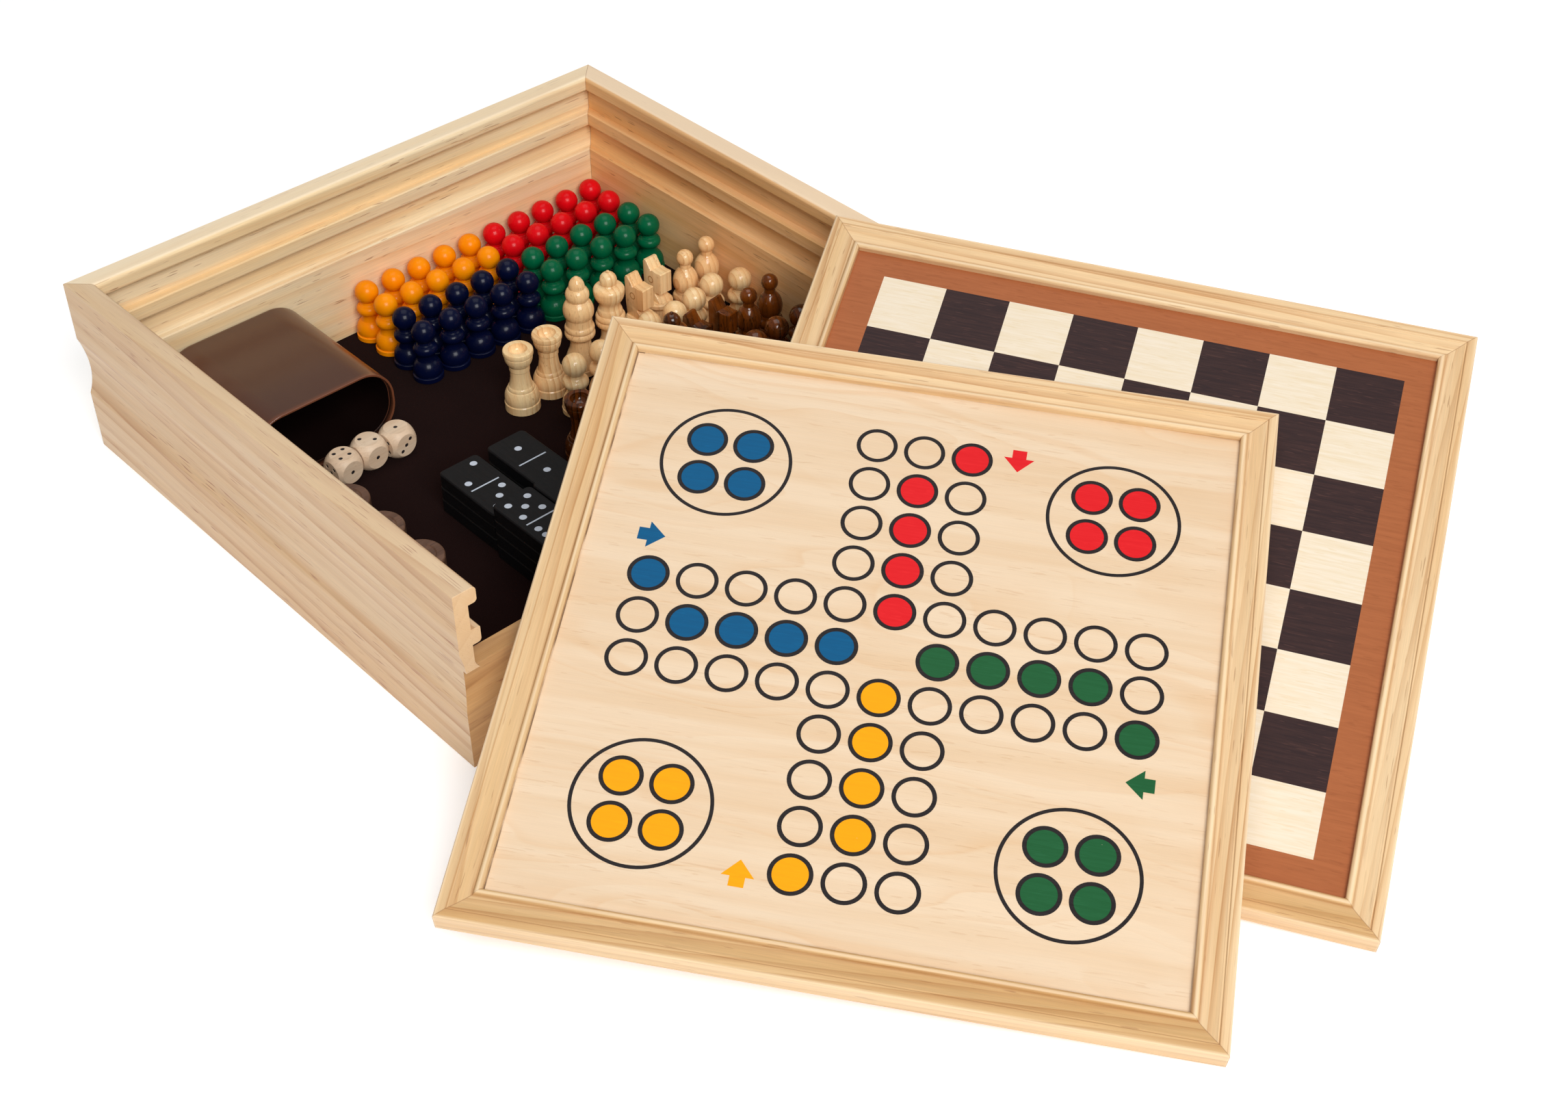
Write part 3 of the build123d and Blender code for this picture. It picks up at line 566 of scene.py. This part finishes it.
def lacquerMaterial(name, colour, deep):
    material, tree, shader = newMaterial("lacquer." + name, Coat_Weight=0.27, Coat_Roughness=0.18,
                                         Specular_IOR_Level=0.05)
    point = localPlace(tree)
    x, y, z = split(tree, point)
    cloud = ramp(tree, noise(tree, point, scale=lacquer["cloudScale"]), lacquer["clouds"])
    # brush and wood grain that show through the paint
    brush = noise(tree, stretched(tree, (z, x, y), lacquer["along"], lacquer["across"]))
    feed(tree, shader, Base_Color=blendColour(tree, cloud, colour, deep),
         Roughness=timesPlus(tree, brush, lacquer["brushed"], lacquer["rough"]))
    bump(tree, shader, brush, lacquer["relief"], lacquer["reliefStrength"])
    return material


for name, (colour, deep) in lacquers.items():
    dress("pegs_" + name, lacquerMaterial(name, colour, deep))

turnedMan = {"ringGap": 2.8, "wobble": 3.5, "uneven": 3.0, "poreRun": 0.3, "relief": 0.03, "along": "Z"}
menLooks = {
    "natural": {"pale": paint(255, 222, 168), "honey": paint(250, 203, 144), "dark": paint(216, 154, 92),
                "poreColour": paint(170, 112, 66), "ringStrength": 0.75, "poreFrom": 0.7, "poreStrength": 0.4,
                "rough": 0.3, "coat": 0.6, "coatRough": 0.1, "gloss": 0.15, "pith": (-60, 40), "seed": 2.2},
    "brown": {"pale": paint(128, 64, 14), "honey": paint(62, 29, 8), "dark": paint(23, 11, 4),
              "poreColour": paint(20, 10, 5), "ringStrength": 0.9, "poreFrom": 0.62, "poreStrength": 0.6,
              "rough": 0.28, "coat": 0.8, "coatRough": 0.08, "gloss": 0.08, "pith": (-50, 30), "seed": 6.4},
}
# the natural knights' eye: a ring of darker wood, painted shade standing for the shadow in a drilled eye
eyeShadeLook = {**turnedMan, **menLooks["natural"], "pale": paint(196, 146, 92), "honey": paint(184, 132, 78)}
menWoods = {side: woodMaterial("turned." + side, {**turnedMan, **look}) for side, look in menLooks.items()}
eyeWoods = {"natural": woodMaterial("turned.eye_shade", eyeShadeLook), "brown": menWoods["brown"]}
for side, wood in menWoods.items():
    for man in ("king", "queen", "bishops", "knights", "rooks", "pawns"):
        dress(f"{side}_{man}", wood)
print("loose pieces dressed")

# printed colour on wood: faint grain, short flecks, and now and then a bare speck
printLook = {
    "along": 0.045, "across": 0.8, "grainFrom": 0.38, "grainTo": 0.7, "fleckAlong": 0.18, "fleckAcross": 1.5,
    "fleckShift": 5.0, "flecks": [(0.7, 0.0), (0.76, 0.5)], "speckScale": 0.09, "speckWide": 0.014,
    "speckStrength": 0.7, "roughSpread": 0.15, "roughLess": 0.07, "relief": 0.03,
}
bareWood = paint(245, 225, 195)


def printMaterial(name, pale, dark, strength, rough, place, specks=None):
    material, tree, shader = newMaterial("print." + name, Coat_Weight=0.04, Coat_Roughness=0.3,
                                         Specular_IOR_Level=0.12)
    point = localPlace(tree, place)
    parts = split(tree, point)
    space = stretched(tree, parts, printLook["along"], printLook["across"])
    fibre = noise(tree, space, detail=5.0, roughness=0.6, distortion=0.4)
    worn = ramp(tree, fibre, [(printLook["grainFrom"], 0.0), (printLook["grainTo"], strength)])
    colour = blendColour(tree, worn, pale, dark)
    space = stretched(tree, parts, printLook["fleckAlong"], printLook["fleckAcross"], printLook["fleckShift"])
    fleck = ramp(tree, noise(tree, space, detail=0.0), printLook["flecks"])
    colour = blendColour(tree, fleck, colour, dark)
    if specks is not None:
        bare = dust(tree, point, printLook["speckScale"], printLook["speckWide"], printLook["speckStrength"])
        colour = blendColour(tree, bare, colour, specks)
    feed(tree, shader, Base_Color=colour,
         Roughness=timesPlus(tree, fibre, printLook["roughSpread"], rough - printLook["roughLess"]))
    bump(tree, shader, fibre, printLook["relief"])
    return material


inkColours = {
    "black": (paint(34, 29, 30), paint(52, 46, 46)), "blue": (paint(0, 85, 130), paint(2, 95, 142)),
    "red": (paint(222, 22, 30), paint(232, 40, 44)), "green": (paint(26, 89, 48), paint(36, 101, 60)),
    "yellow": (paint(249, 164, 0), paint(252, 173, 4)),
}
ink = {"thick": 0.05, "sunk": 0.02, "sides": 40, "worn": 0.5, "rough": 0.42}
inks = {name: printMaterial(name, colour, worn, ink["worn"], ink["rough"], boards["ludo"]["place"], bareWood)
        for name, (colour, worn) in inkColours.items()}


def finishMesh(name, mesh, materials, body, matrix=None):
    bmesh.ops.recalc_face_normals(mesh, faces=mesh.faces)
    if matrix is not None:
        mesh.transform(matrix)
    data = bpy.data.meshes.new(name)
    mesh.to_mesh(data)
    mesh.free()
    for material in materials:
        data.materials.append(material)
    piece = bpy.data.objects.new(name, data)
    bpy.context.scene.collection.objects.link(piece)
    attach(piece, body)
    return piece


def eachOnce(items):
    # in their own order, so that every run gives the same mesh
    return list(dict.fromkeys(items))


def plateUp(mesh, faces, low, high):
    # gives flat faces at z = 0 their thickness, from low to high
    bmesh.ops.translate(mesh, verts=eachOnce(v for face in faces for v in face.verts), vec=(0, 0, low))
    grown = bmesh.ops.extrude_face_region(mesh, geom=list(faces))
    top = [item for item in grown["geom"] if isinstance(item, bmesh.types.BMVert)]
    bmesh.ops.translate(mesh, verts=top, vec=(0, 0, high - low))


def inkUp(mesh, faces):
    plateUp(mesh, faces, -ink["sunk"] * mm, ink["thick"] * mm)


def disc(mesh, x, y, radius):
    made = bmesh.ops.create_circle(mesh, cap_ends=True, segments=ink["sides"], radius=radius)["verts"]
    faces = eachOnce(face for v in made for face in v.link_faces)
    bmesh.ops.translate(mesh, verts=made, vec=(x, y, 0))
    inkUp(mesh, faces)


def ring(mesh, x, y, radius, line, sides=ink["sides"]):
    made = bmesh.ops.create_circle(mesh, segments=sides, radius=radius)["verts"]
    made += bmesh.ops.create_circle(mesh, segments=sides, radius=radius - line)["verts"]
    edges = eachOnce(edge for v in made for edge in v.link_edges)
    faces = bmesh.ops.bridge_loops(mesh, edges=edges)["faces"]
    bmesh.ops.translate(mesh, verts=made, vec=(x, y, 0))
    inkUp(mesh, faces)


# places are columns and rows from the cross's top left corner, widths are shares of the pitch, and the
# arrow's outline is in mm
ludoPrint = {
    "pitch": 19.64, "offset": (0.15, -1.6), "lanes": 11, "middle": 5, "arm": (4, 5, 6),
    "ring": 0.43, "line": 0.086, "fillOverlap": 0.97, "home": 1.378, "homeLine": 0.074, "homeSides": 80,
    "homeSpots": [(dx, dy) for dx in (-0.49, 0.49) for dy in (-0.49, 0.49)],
    "homes": {"blue": (0.98, 0.99), "red": (9.04, 0.99), "yellow": (0.98, 9.06), "green": (9.03, 9.06)},
    "tracks": {"blue": [(0, 4)] + [(n, 5) for n in range(1, 5)],
               "red": [(6, 0)] + [(5, n) for n in range(1, 5)],
               "green": [(10, 6)] + [(n, 5) for n in range(6, 10)],
               "yellow": [(4, 10)] + [(5, n) for n in range(6, 10)]},
    "arrows": {"blue": (-0.135, 3.074, 0), "red": (6.957, -0.139, -90), "green": (10.15, 6.951, 180),
               "yellow": (3.055, 10.15, 90)},
    "arrow": [(-5.5, -2.9), (-1.4, -2.9), (-1.4, -6.2), (5.5, 0), (-1.4, 6.2), (-1.4, 2.9), (-5.5, 2.9)],
}


def ludoSpot(column, row):
    pitch, (dx, dy) = ludoPrint["pitch"], ludoPrint["offset"]
    middle = ludoPrint["middle"]
    return ((column - middle) * pitch + dx) * mm, ((middle - row) * pitch + dy) * mm


def ludoArrow(mesh, column, row, turn):
    corners = [mesh.verts.new((x * mm, y * mm, 0)) for x, y in ludoPrint["arrow"]]
    face = mesh.faces.new(corners)
    bmesh.ops.rotate(mesh, verts=corners, matrix=Matrix.Rotation(math.radians(turn), 3, "Z"))
    bmesh.ops.translate(mesh, verts=corners, vec=(*ludoSpot(column, row), 0))
    inkUp(mesh, [face])


def ludoMarks():
    pitch = ludoPrint["pitch"] * mm
    radius, line = ludoPrint["ring"] * pitch, ludoPrint["line"] * pitch
    fillRadius = radius - ludoPrint["fillOverlap"] * line
    filled = {spot: colour for colour, track in ludoPrint["tracks"].items() for spot in track}
    lines = bmesh.new()
    fills = {colour: bmesh.new() for colour in ludoPrint["homes"]}
    for column in range(ludoPrint["lanes"]):
        for row in range(ludoPrint["lanes"]):
            onCross = column in ludoPrint["arm"] or row in ludoPrint["arm"]
            if not onCross or column == row == ludoPrint["middle"]:
                continue
            x, y = ludoSpot(column, row)
            ring(lines, x, y, radius, line)
            if (column, row) in filled:
                disc(fills[filled[column, row]], x, y, fillRadius)
    for colour, home in ludoPrint["homes"].items():
        x, y = ludoSpot(*home)
        ring(lines, x, y, ludoPrint["home"] * pitch, ludoPrint["homeLine"] * pitch, ludoPrint["homeSides"])
        for dx, dy in ludoPrint["homeSpots"]:
            ring(lines, x + dx * pitch, y + dy * pitch, radius, line)
            disc(fills[colour], x + dx * pitch, y + dy * pitch, fillRadius)
    for colour, arrow in ludoPrint["arrows"].items():
        ludoArrow(fills[colour], *arrow)
    face = boards["ludo"]["face"]
    finishMesh("ludo_print_lines", lines, [inks["black"]], "ludo_board", face)
    for colour, mesh in fills.items():
        finishMesh("ludo_print_" + colour, mesh, [inks[colour]], "ludo_board", face)


ludoMarks()

chessPrint = {
    "count": 8, "square": 28.35, "offset": (0.6, 0.7), "turn": -0.45, "proud": 0.01, "play": 0.02,
    "pale": (paint(240, 226, 204), paint(230, 209, 172)), "paleWorn": 0.7,
    "dark": (paint(50, 35, 36), paint(82, 56, 51)), "darkWorn": 0.4,
    "border": (paint(173, 102, 62), paint(150, 85, 50)), "borderRough": 0.45,
}


def chessMarks():
    place, face = boards["chess"]["place"], boards["chess"]["face"]
    pale = printMaterial("pale squares", *chessPrint["pale"], chessPrint["paleWorn"], ink["rough"], place)
    dark = printMaterial("dark squares", *chessPrint["dark"], chessPrint["darkWorn"], ink["rough"], place)
    brown = printMaterial("border", *chessPrint["border"], ink["worn"], chessPrint["borderRough"], place,
                          bareWood)
    count, square = chessPrint["count"], chessPrint["square"] * mm
    half = count / 2 * square
    dx, dy = (value * mm for value in chessPrint["offset"])
    # the print sits a little askew on its board
    askew = Matrix.Translation((dx, dy, 0)) @ Matrix.Rotation(math.radians(chessPrint["turn"]), 4, "Z")
    squares = bmesh.new()
    bmesh.ops.create_grid(squares, x_segments=count, y_segments=count, size=half)
    for cell in squares.faces:
        centre = cell.calc_center_median()
        column, row = int((centre.x + half) / square), int((half - centre.y) / square)
        cell.material_index = (column + row) % 2
    squares.transform(askew)
    plateUp(squares, list(squares.faces), -ink["sunk"] * mm, (ink["thick"] + chessPrint["proud"]) * mm)
    finishMesh("chess_print_squares", squares, [pale, dark], "chess_board", face)
    opening = (boardFrame["size"] / 2 - boardFrame["rail"] - chessPrint["play"]) * mm
    corners = ((-1, -1), (1, -1), (1, 1), (-1, 1))
    border = bmesh.new()
    outer = [border.verts.new((x * opening, y * opening, 0)) for x, y in corners]
    inner = [border.verts.new(askew @ Vector((x * half, y * half, 0))) for x, y in corners]
    sides = [border.faces.new((outer[n], outer[(n + 1) % 4], inner[(n + 1) % 4], inner[n])) for n in range(4)]
    inkUp(border, sides)
    finishMesh("chess_print_border", border, [brown], "chess_board", face)


chessMarks()
print("prints laid")

# where the spots of each number lie, in steps of their pitch
spots = {
    1: [(0, 0)], 2: [(-1, -1), (1, 1)], 3: [(-1, -1), (0, 0), (1, 1)],
    4: [(-1, -1), (-1, 1), (1, -1), (1, 1)], 5: [(-1, -1), (-1, 1), (1, -1), (1, 1), (0, 0)],
    6: [(-1, -1), (-1, 0), (-1, 1), (1, -1), (1, 0), (1, 1)],
}
pipLook = {"cloudScale": 1.6, "clouds": [(0.35, 0.0), (0.7, 0.6)], "rough": 0.5}
# the inner faces of the left and back rails, and the top of the lining
boxInside = {"left": -138.5, "back": 133.5, "floor": 5.5}


def pipMaterial(name, colour, other):
    material, tree, shader = newMaterial(name, Roughness=pipLook["rough"])
    cloud = ramp(tree, noise(tree, localPlace(tree), scale=pipLook["cloudScale"]), pipLook["clouds"])
    feed(tree, shader, Base_Color=blendColour(tree, cloud, colour, other))
    return material


# laid gives each die's top, fore and aside numbers, quarter turns, turn, place along the row and depth
die = {
    "size": 14.0, "pip": 2.0, "pitch": 2.5, "deep": 0.3, "fill": 0.1, "play": 0.02, "below": 0.05,
    "sides": 20, "fromLeft": 53.2, "fromBack": 94.6, "gap": 0.8, "floor": 5.8,
    "laid": [(4, 1, 2, 0, 4.0, 0.0, 0.3), (2, 1, 3, 1, 3.0, 1.0, -1.0), (1, 3, 2, 0, 4.5, 2.0, 0.2)],
}
diePaint = pipMaterial("black.pips", paint(26, 22, 24), paint(48, 42, 44))


def diePip(mesh, x, y, tilt):
    half = die["size"] / 2
    before = set(mesh.verts)
    made = bmesh.ops.create_circle(mesh, cap_ends=True, segments=die["sides"],
                                   radius=(die["pip"] / 2 - die["play"]) * mm)["verts"]
    bmesh.ops.translate(mesh, verts=made, vec=(x * die["pitch"] * mm, y * die["pitch"] * mm, 0))
    plateUp(mesh, [made[0].link_faces[0]], (half - die["deep"] - die["below"]) * mm,
            (half - die["deep"] + die["fill"]) * mm)
    turned = Euler([math.radians(angle) for angle in tilt]).to_matrix().to_4x4()
    bmesh.ops.transform(mesh, matrix=turned, verts=[v for v in mesh.verts if v not in before])


def diePips(number, top, fore, aside, quarter, turn, along, deep):
    mesh = bmesh.new()
    # the numbers on opposite sides add up to seven
    sides = [(top, (0, 0, 90 * quarter)), (7 - top, (180, 0, 90 * quarter)), (fore, (90, 0, 0)),
             (7 - fore, (-90, 0, 0)), (aside, (0, 90, 0)), (7 - aside, (0, -90, 0))]
    for value, tilt in sides:
        for x, y in spots[value]:
            diePip(mesh, x, y, tilt)
    fromLeft = die["fromLeft"] + along * (die["size"] + die["gap"])
    place = Matrix.Translation(((boxInside["left"] + fromLeft) * mm,
                                (boxInside["back"] - die["fromBack"] - deep) * mm,
                                (die["floor"] + die["size"] / 2) * mm))
    turned = place @ Matrix.Rotation(math.radians(turn), 4, "Z")
    finishMesh(f"die_{number}_pips", mesh, [diePaint], f"die_{number}", turned)


for number, laid in enumerate(die["laid"], 1):
    diePips(number, *laid)

# stacks gives each stack's place from the left and the back, its count and how unevenly it is stacked
tile = {
    "long": 42.0, "thick": 7.0, "gap": 0.06, "pip": 3.5, "pitch": 5.2, "line": (15.0, 1.0), "deep": 0.3,
    "fill": 0.14, "play": 0.03, "below": 0.04, "sides": 24,
    "sway": 0.1, "swayStep": 3, "shove": 0.5, "shoveStep": 2, "twistStep": 2.6,
    "tops": [(2, 3), (1, 1), (5, 6), (0, 4), (6, 6), (2, 4), (1, 3)],
    "stacks": [(82.5, 164.5, 3, 0.5), (109.0, 164.5, 3, 0.5), (80.9, 206.8, 4, 0.0), (102.7, 206.8, 4, 0.0),
               (127.0, 208.4, 5, 0.4), (149.5, 208.0, 5, 0.4), (172.0, 208.6, 4, 0.4)],
}
pipPaint = pipMaterial("white.pips", paint(204, 212, 224), paint(180, 188, 200))


def tilePips(number, fromLeft, fromBack, count, uneven):
    mesh = bmesh.new()
    for value, middle in zip(tile["tops"][number], (tile["long"] / 4, -tile["long"] / 4)):
        for x, y in spots.get(value, []):
            made = bmesh.ops.create_circle(mesh, cap_ends=True, segments=tile["sides"],
                                           radius=(tile["pip"] / 2 - tile["play"]) * mm)["verts"]
            place = (x * tile["pitch"] * mm, (middle + y * tile["pitch"]) * mm, 0)
            bmesh.ops.translate(mesh, verts=made, vec=place)
    bar = bmesh.ops.create_grid(mesh, x_segments=1, y_segments=1, size=mm / 2)["verts"]
    long, wide = tile["line"]
    bmesh.ops.scale(mesh, verts=bar, vec=(long - 2 * tile["play"], wide - 2 * tile["play"], 1))
    plateUp(mesh, list(mesh.faces), -(tile["deep"] + tile["below"]) * mm, (tile["fill"] - tile["deep"]) * mm)
    # the top tile's place and turn repeat the solids' uneven stacking
    last = count - 1
    sway = tile["sway"] * uneven * math.sin(tile["swayStep"] * last)
    shove = tile["shove"] * uneven * math.cos(tile["shoveStep"] * last + number)
    twist = uneven * math.sin(tile["twistStep"] * last + number)
    height = boxInside["floor"] + last * (tile["thick"] + tile["gap"]) + tile["thick"]
    place = Matrix.Translation(((boxInside["left"] + fromLeft + sway) * mm,
                                (boxInside["back"] - fromBack + shove) * mm, height * mm))
    turned = place @ Matrix.Rotation(math.radians(twist), 4, "Z")
    finishMesh(f"dominoes_{number + 1}_pips", mesh, [pipPaint], "box", turned)


for number, stack in enumerate(tile["stacks"]):
    tilePips(number, *stack)
print("pips set")

# a turned foot and a sawn head, side view in x and z; laid gives x, y and the way the head looks
knight = {
    "foot": [(0, 0), (7.4, 0), (7.8, 0.4), (7.8, 2.8), (7.3, 3.2), (7.6, 3.6), (7.5, 5.2), (7.0, 7.0),
             (6.4, 8.9), (6.0, 10.2), (5.6, 12.0), (5.7, 13.2), (6.2, 14.0), (7.2, 14.9), (7.2, 16.6),
             (6.6, 17.2), (0, 17.2)],
    "head": [(-5.8, 16.6), (-6.3, 24.0), (-6.5, 37.6), (-5.7, 38.8), (-4.3, 39.0), (-0.9, 34.2),
             (-0.1, 34.9), (2.8, 34.5), (6.0, 34.9), (6.4, 34.4), (6.2, 23.6), (5.4, 22.9), (1.9, 22.6),
             (1.6, 21.6), (4.6, 18.4), (5.6, 16.6)],
    "thick": 7.2, "edgeBevel": 0.35, "bevelSteps": 2, "sides": 64, "merge": 0.01, "sharp": 35.0,
    "eye": (-1.1, 29.2), "eyeWide": 3.8, "eyeLine": 0.5, "eyeSides": 24,
    "laid": {"natural": [(83.2, 28.5, -87), (99.0, 33.5, -89)],
             "brown": [(82.3, -16.0, -80), (98.8, -15.2, -84)]},
}


def knightFoot(mesh, before):
    rim = [mesh.verts.new((radius * mm, 0, height * mm)) for radius, height in knight["foot"]]
    edges = [mesh.edges.new(pair) for pair in zip(rim, rim[1:])]
    bmesh.ops.spin(mesh, geom=rim + edges, cent=(0, 0, 0), axis=(0, 0, 1), angle=math.tau,
                   steps=knight["sides"], use_merge=True)
    turned = [v for v in mesh.verts if v not in before]
    bmesh.ops.remove_doubles(mesh, verts=turned, dist=knight["merge"] * mm)


def knightHead(mesh):
    before = set(mesh.verts)
    half = knight["thick"] / 2 * mm
    outline = [mesh.verts.new((x * mm, -half, z * mm)) for x, z in knight["head"]]
    grown = bmesh.ops.extrude_face_region(mesh, geom=[mesh.faces.new(outline)])
    far = [item for item in grown["geom"] if isinstance(item, bmesh.types.BMVert)]
    bmesh.ops.translate(mesh, verts=far, vec=(0, 2 * half, 0))
    # the edges of the two flat sides, not those across the thickness
    flat = [edge for edge in mesh.edges
            if edge.verts[0] not in before and abs(edge.verts[0].co.y - edge.verts[1].co.y) < half]
    bmesh.ops.bevel(mesh, geom=flat, offset=knight["edgeBevel"] * mm, segments=knight["bevelSteps"],
                    affect="EDGES", profile=0.5, material=-1)


def knightEye(mesh, side):
    # a thin ring on each flat side; on the natural knights its darker wood is painted shade for a drilled eye
    before = set(mesh.verts)
    ring(mesh, 0, 0, knight["eyeWide"] / 2 * mm, knight["eyeLine"] * mm, knight["eyeSides"])
    eye = [v for v in mesh.verts if v not in before]
    for face in eachOnce(face for v in eye for face in v.link_faces):
        face.material_index = 1
    x, z = knight["eye"]
    bmesh.ops.rotate(mesh, verts=eye, matrix=Matrix.Rotation(-side * math.pi / 2, 3, "X"))
    bmesh.ops.translate(mesh, verts=eye, vec=(x * mm, side * knight["thick"] / 2 * mm, z * mm))


def knightInto(mesh, x, y, turn):
    before = set(mesh.verts)
    knightFoot(mesh, before)
    knightHead(mesh)
    for side in (-1, 1):
        knightEye(mesh, side)
    place = Matrix.Translation((x * mm, y * mm, boxInside["floor"] * mm))
    bmesh.ops.transform(mesh, matrix=place @ Matrix.Rotation(math.radians(turn), 4, "Z"),
                        verts=[v for v in mesh.verts if v not in before])


for side, places in knight["laid"].items():
    mesh = bmesh.new()
    for place in places:
        knightInto(mesh, *place)
    for face in mesh.faces:
        face.smooth = True
    for edge in mesh.edges:
        edge.smooth = edge.calc_face_angle(0.0) < math.radians(knight["sharp"])
    woods = [menWoods[side], eyeWoods[side]]
    piece = finishMesh(side + "_knights_carved", mesh, woods, "box")
    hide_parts(side + "_knights")
print("knights carved")

studio = {"floor": (0.95, 0.95, 0.95, 1), "floorHalf": 6.0, "floorBelow": 0.2, "floorGlow": 0.34,
          "world": (1.0, 1.0, 1.0, 1), "worldStrength": 0.2, "aim": (0, -0.12, 0.04)}


def addFloor():
    mesh = bmesh.new()
    bmesh.ops.create_grid(mesh, x_segments=1, y_segments=1, size=studio["floorHalf"])
    data = bpy.data.meshes.new("floor")
    mesh.to_mesh(data)
    mesh.free()
    material = newMaterial("floor", Base_Color=studio["floor"], Roughness=0.9, Emission_Color=studio["world"],
                           Emission_Strength=studio["floorGlow"], Specular_IOR_Level=0.1)[0]
    data.materials.append(material)
    floor = bpy.data.objects.new("floor", data)
    floor.location.z = -studio["floorBelow"] * mm
    bpy.context.scene.collection.objects.link(floor)


addFloor()

world = bpy.data.worlds.new("studio")
world.use_nodes = True
background = world.node_tree.nodes["Background"]
background.inputs["Color"].default_value = studio["world"]
background.inputs["Strength"].default_value = studio["worldStrength"]
bpy.context.scene.world = world
bpy.context.scene.view_settings.view_transform = "Standard"

lights = {
    "key": {"at": (-0.7, -1.7, 1.6), "size": 1.2, "watts": 44.0},
    "top": {"at": (0.3, 0.3, 2.1), "size": 1.6, "watts": 12.0},
    "side": {"at": (1.7, -1.0, 1.3), "size": 1.0, "watts": 3.0},
}
for name, light in lights.items():
    lamp = bpy.data.lights.new(name, "AREA")
    lamp.shape, lamp.size, lamp.energy = "SQUARE", light["size"], light["watts"]
    holder = bpy.data.objects.new(name, lamp)
    holder.location = light["at"]
    holder.rotation_euler = (Vector(studio["aim"]) - Vector(light["at"])).to_track_quat("-Z", "Y").to_euler()
    bpy.context.scene.collection.objects.link(holder)

# place in mm, focal length and width in the photograph's pixels, sensor in mm, clip in metres
view = {"at": (-473.2, -676.1, 624.6), "forward": (0.5183, 0.5608, -0.6457), "up": (0.4418, 0.4709, 0.7636),
        "focal": 3202.0, "width": 2292.0, "sensor": 36.0, "clip": (0.01, 20.0)}
cameraData = bpy.data.cameras.new("camera")
cameraData.sensor_width = view["sensor"]
cameraData.lens = view["focal"] / view["width"] * view["sensor"]
cameraData.clip_start, cameraData.clip_end = view["clip"]
camera = bpy.data.objects.new("camera", cameraData)
forward = Vector(view["forward"]).normalized()
sideways = forward.cross(Vector(view["up"])).normalized()
facing = Matrix((sideways, sideways.cross(forward), -forward)).transposed()
camera.matrix_world = Matrix.Translation(Vector(view["at"]) * mm) @ facing.to_4x4()
bpy.context.scene.collection.objects.link(camera)
bpy.context.scene.camera = camera
print("studio set")
